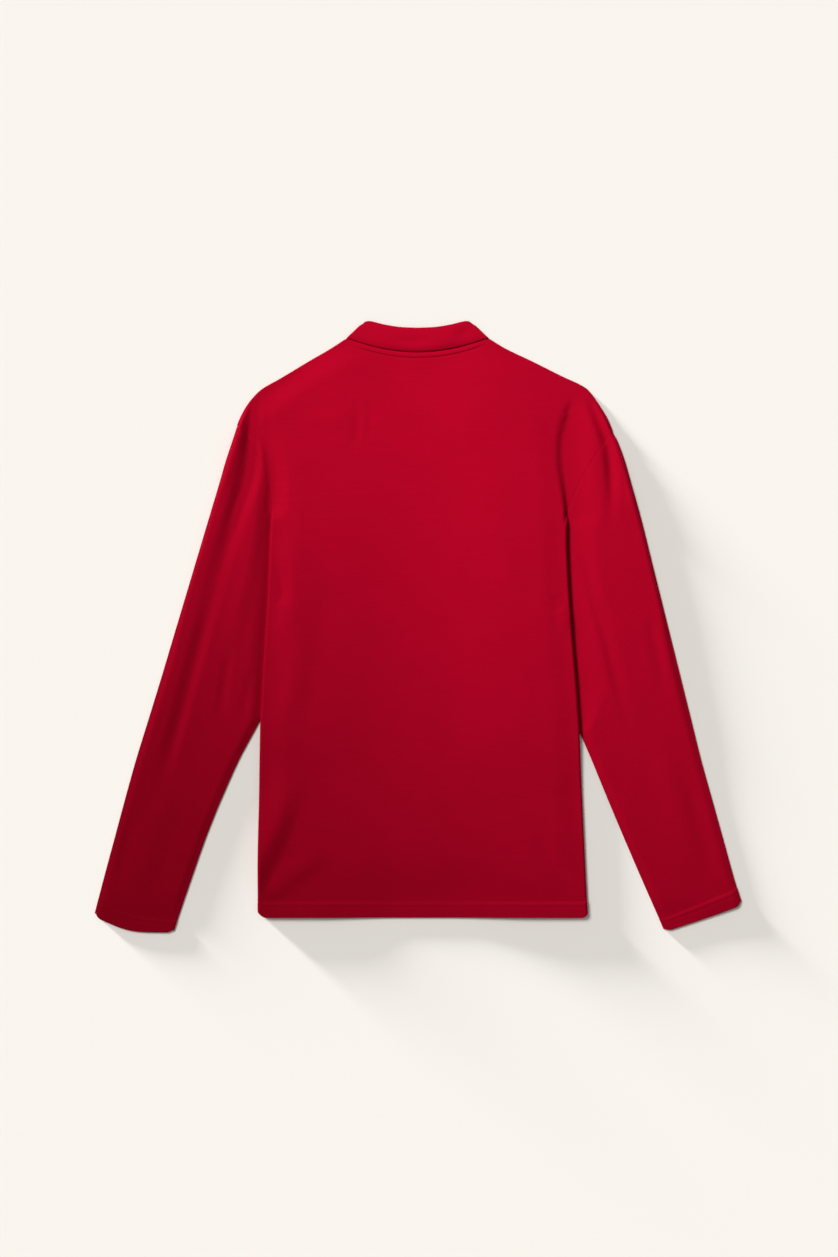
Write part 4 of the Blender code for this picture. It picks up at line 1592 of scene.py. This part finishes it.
@dataclass
class Studio:
    """The pale floor, the soft lights and the camera straight above."""

    view_centre: Place = Place(1.2, -1.9)
    view_length: float = 1571.0
    camera_height: float = 3000.0
    sensor: float = 36.0
    floor_shade: str = "f5f2ec"
    spot_aim: Place = Place(150.0, 190.0)
    spot_reach: float = 2.6
    spot_cone: float = 26.5
    spot_power: float = 360.0

    def build(self, garment: list[bpy.types.Object]) -> None:
        """Makes the stage around the garment.

        Args:
            garment: the garment's pieces, which the upper light is kept to.
        """
        scene = bpy.context.scene
        scene.view_settings.view_transform = "Standard"
        floor = self.floor()
        self.sky()
        cloth = bpy.data.collections.new("lit_cloth")
        for piece in garment:
            cloth.objects.link(piece)
        stage = bpy.data.collections.new("lit_floor")
        stage.objects.link(floor)
        self.sun("key", azimuth=-54.0, elevation=36.0, spread=16.0, share=0.30, only=cloth)
        self.sun("floor_key", azimuth=-50.0, elevation=50.0, spread=24.0, share=0.49, only=stage)
        self.sun("raking", azimuth=-48.0, elevation=3.2, spread=6.0, share=0.27, only=stage)
        self.spot(cloth)
        camera = bpy.data.objects.new("camera", bpy.data.cameras.new("camera"))
        scene.collection.objects.link(camera)
        camera.location = (self.view_centre.x * MM, self.view_centre.y * MM, self.camera_height * MM)
        camera.data.sensor_width = self.sensor
        camera.data.lens = self.sensor * self.camera_height / self.view_length
        camera.data.clip_end = 20.0
        scene.camera = camera

    def floor(self) -> bpy.types.Object:
        """Lays a plain pale floor under the garment.

        Returns:
            The floor.
        """
        mesh = bmesh.new()
        bmesh.ops.create_grid(mesh, x_segments=1, y_segments=1, size=30.0)
        data = bpy.data.meshes.new("floor")
        mesh.to_mesh(data)
        mesh.free()
        made = bpy.data.materials.new("painted_studio_board")
        made.use_nodes = True
        surface = made.node_tree.nodes["Principled BSDF"]
        surface.inputs["Base Color"].default_value = linear(self.floor_shade)
        surface.inputs["Roughness"].default_value = 0.9
        surface.inputs["Specular IOR Level"].default_value = 0.1
        data.materials.append(made)
        floor = bpy.data.objects.new("floor", data)
        bpy.context.scene.collection.objects.link(floor)
        return floor

    def sky(self) -> None:
        """Sets the even light of the room."""
        world = bpy.data.worlds.new("studio_room")
        world.use_nodes = True
        ground = world.node_tree.nodes["Background"]
        ground.inputs["Color"].default_value = linear("fbf9f4")
        ground.inputs["Strength"].default_value = 0.29
        bpy.context.scene.world = world

    def sun(
        self, name: str, azimuth: float, elevation: float, spread: float, share: float,
        only: bpy.types.Collection | None,
    ) -> None:
        """Hangs one far, even light.

        Args:
            name: its name.
            azimuth: where it comes from, in degrees from +Y towards +X.
            elevation: its height, in degrees.
            spread: how wide it looks, in degrees, which softens its shadows.
            share: how bright it makes a white floor, where 1 is full white.
            only: what it lights, or None for everything.
        """
        data = bpy.data.lights.new(name, "SUN")
        data.angle = math.radians(spread)
        data.energy = share * math.pi / math.sin(math.radians(elevation))
        lamp = bpy.data.objects.new(name, data)
        bpy.context.scene.collection.objects.link(lamp)
        lamp.rotation_euler = self.way(azimuth, elevation).to_track_quat("Z", "Y").to_euler()
        if only:
            lamp.light_linking.receiver_collection = only

    def spot(self, cloth: bpy.types.Collection) -> None:
        """Hangs the soft light that brightens the garment towards its collar and its right side.

        Args:
            cloth: the garment's pieces.
        """
        data = bpy.data.lights.new("upper", "SPOT")
        data.energy = self.spot_power
        data.spot_size = math.radians(self.spot_cone)
        data.spot_blend = 1.0
        data.shadow_soft_size = 0.3
        lamp = bpy.data.objects.new("upper", data)
        bpy.context.scene.collection.objects.link(lamp)
        way = self.way(-48.0, 40.0)
        lamp.location = Vector((self.spot_aim.x * MM, self.spot_aim.y * MM, 0.0)) + way * self.spot_reach
        lamp.rotation_euler = way.to_track_quat("Z", "Y").to_euler()
        lamp.light_linking.receiver_collection = cloth

    @staticmethod
    def way(azimuth: float, elevation: float) -> Vector:
        """The way to a light, from its azimuth (from +Y towards +X) and elevation in degrees."""
        turn, climb = math.radians(azimuth), math.radians(elevation)
        return Vector((math.sin(turn) * math.cos(climb), math.cos(turn) * math.cos(climb), math.sin(climb)))


@dataclass
class Garment:
    """The t-shirt: two body panels, two sleeves and the band, with their sewing."""

    palette: Palette
    drape: Drape = field(default_factory=Drape)
    band: NeckBand = field(default_factory=NeckBand)
    pieces: list[bpy.types.Object] = field(default_factory=list)

    def build(self) -> list[bpy.types.Object]:
        """Makes every piece, from the floor up.

        Returns:
            The pieces.
        """
        front = self.panel(False)
        sleeves = [self.sleeve(side) for side in SIDES]
        self.panel(True)
        band = self.band.build(self.palette.rib)
        self.pieces.append(band)
        return self.pieces

    def panel(
        self, is_back: bool
    ) -> bpy.types.Object:
        """Makes the back or the front of the body with its stitches and neck seam allowance.

        Args:
            is_back: whether it is the back.

        Returns:
            Its cloth.
        """
        side = "back" if is_back else "front"
        maker = BodyPanel(
            name=side + "_cloth",
            node=side + "_panel",
            height=self.drape.back if is_back else self.drape.front,
            neck_drop=self.band.back_drop if is_back else self.band.front_drop,
            neck_power=self.band.back_power if is_back else self.band.front_power,
            fold_radius=RIGHT.fold_radius if is_back else PITCH / 2,
            pitch=3.4 if is_back else 5.0,
            is_back=is_back,
            drape=self.drape,
        )
        cloth = maker.build(self.palette.jersey)
        stitches = Stitching(side + "_stitches").build(maker.stitch_lines(), self.palette.thread)
        allowance = SeamAllowance(side + "_neck_seam_allowance", 1.85, (-5.0, 1.8))
        strip = allowance.build(maker.neck_line(), self.palette.jersey)
        self.pieces += [cloth, stitches, strip]
        return cloth

    def sleeve(self, side: BodySide) -> bpy.types.Object:
        """Makes one sleeve with its cuff's stitches and its armhole seam allowance.

        Args:
            side: which side it is on.

        Returns:
            Its cloth.
        """
        maker = Sleeve(side, self.drape)
        cloth = maker.build(self.palette.jersey)
        sewing = Stitching("cuff_" + side.name + "_stitches")
        stitches = sewing.build(maker.stitch_lines, self.palette.thread)
        seam = np.stack(along(side.armhole, np.linspace(0.06, 0.975, 60)), axis=1)
        allowance = SeamAllowance("armhole_" + side.name + "_seam_allowance", 1.45, (-3.0, 3.0))
        strip = allowance.build(seam, self.palette.jersey)
        self.pieces += [cloth, stitches, strip]
        return cloth


def main() -> None:
    """Builds the garment and its stage, and logs how many pieces the garment has."""
    logging.basicConfig(level=logging.INFO, format="%(name)s: %(message)s")
    pieces = Garment(Palette()).build()
    Studio().build(pieces)
    LOG.info("%d pieces on the stage", len(pieces))


if __name__ == "__main__":
    main()
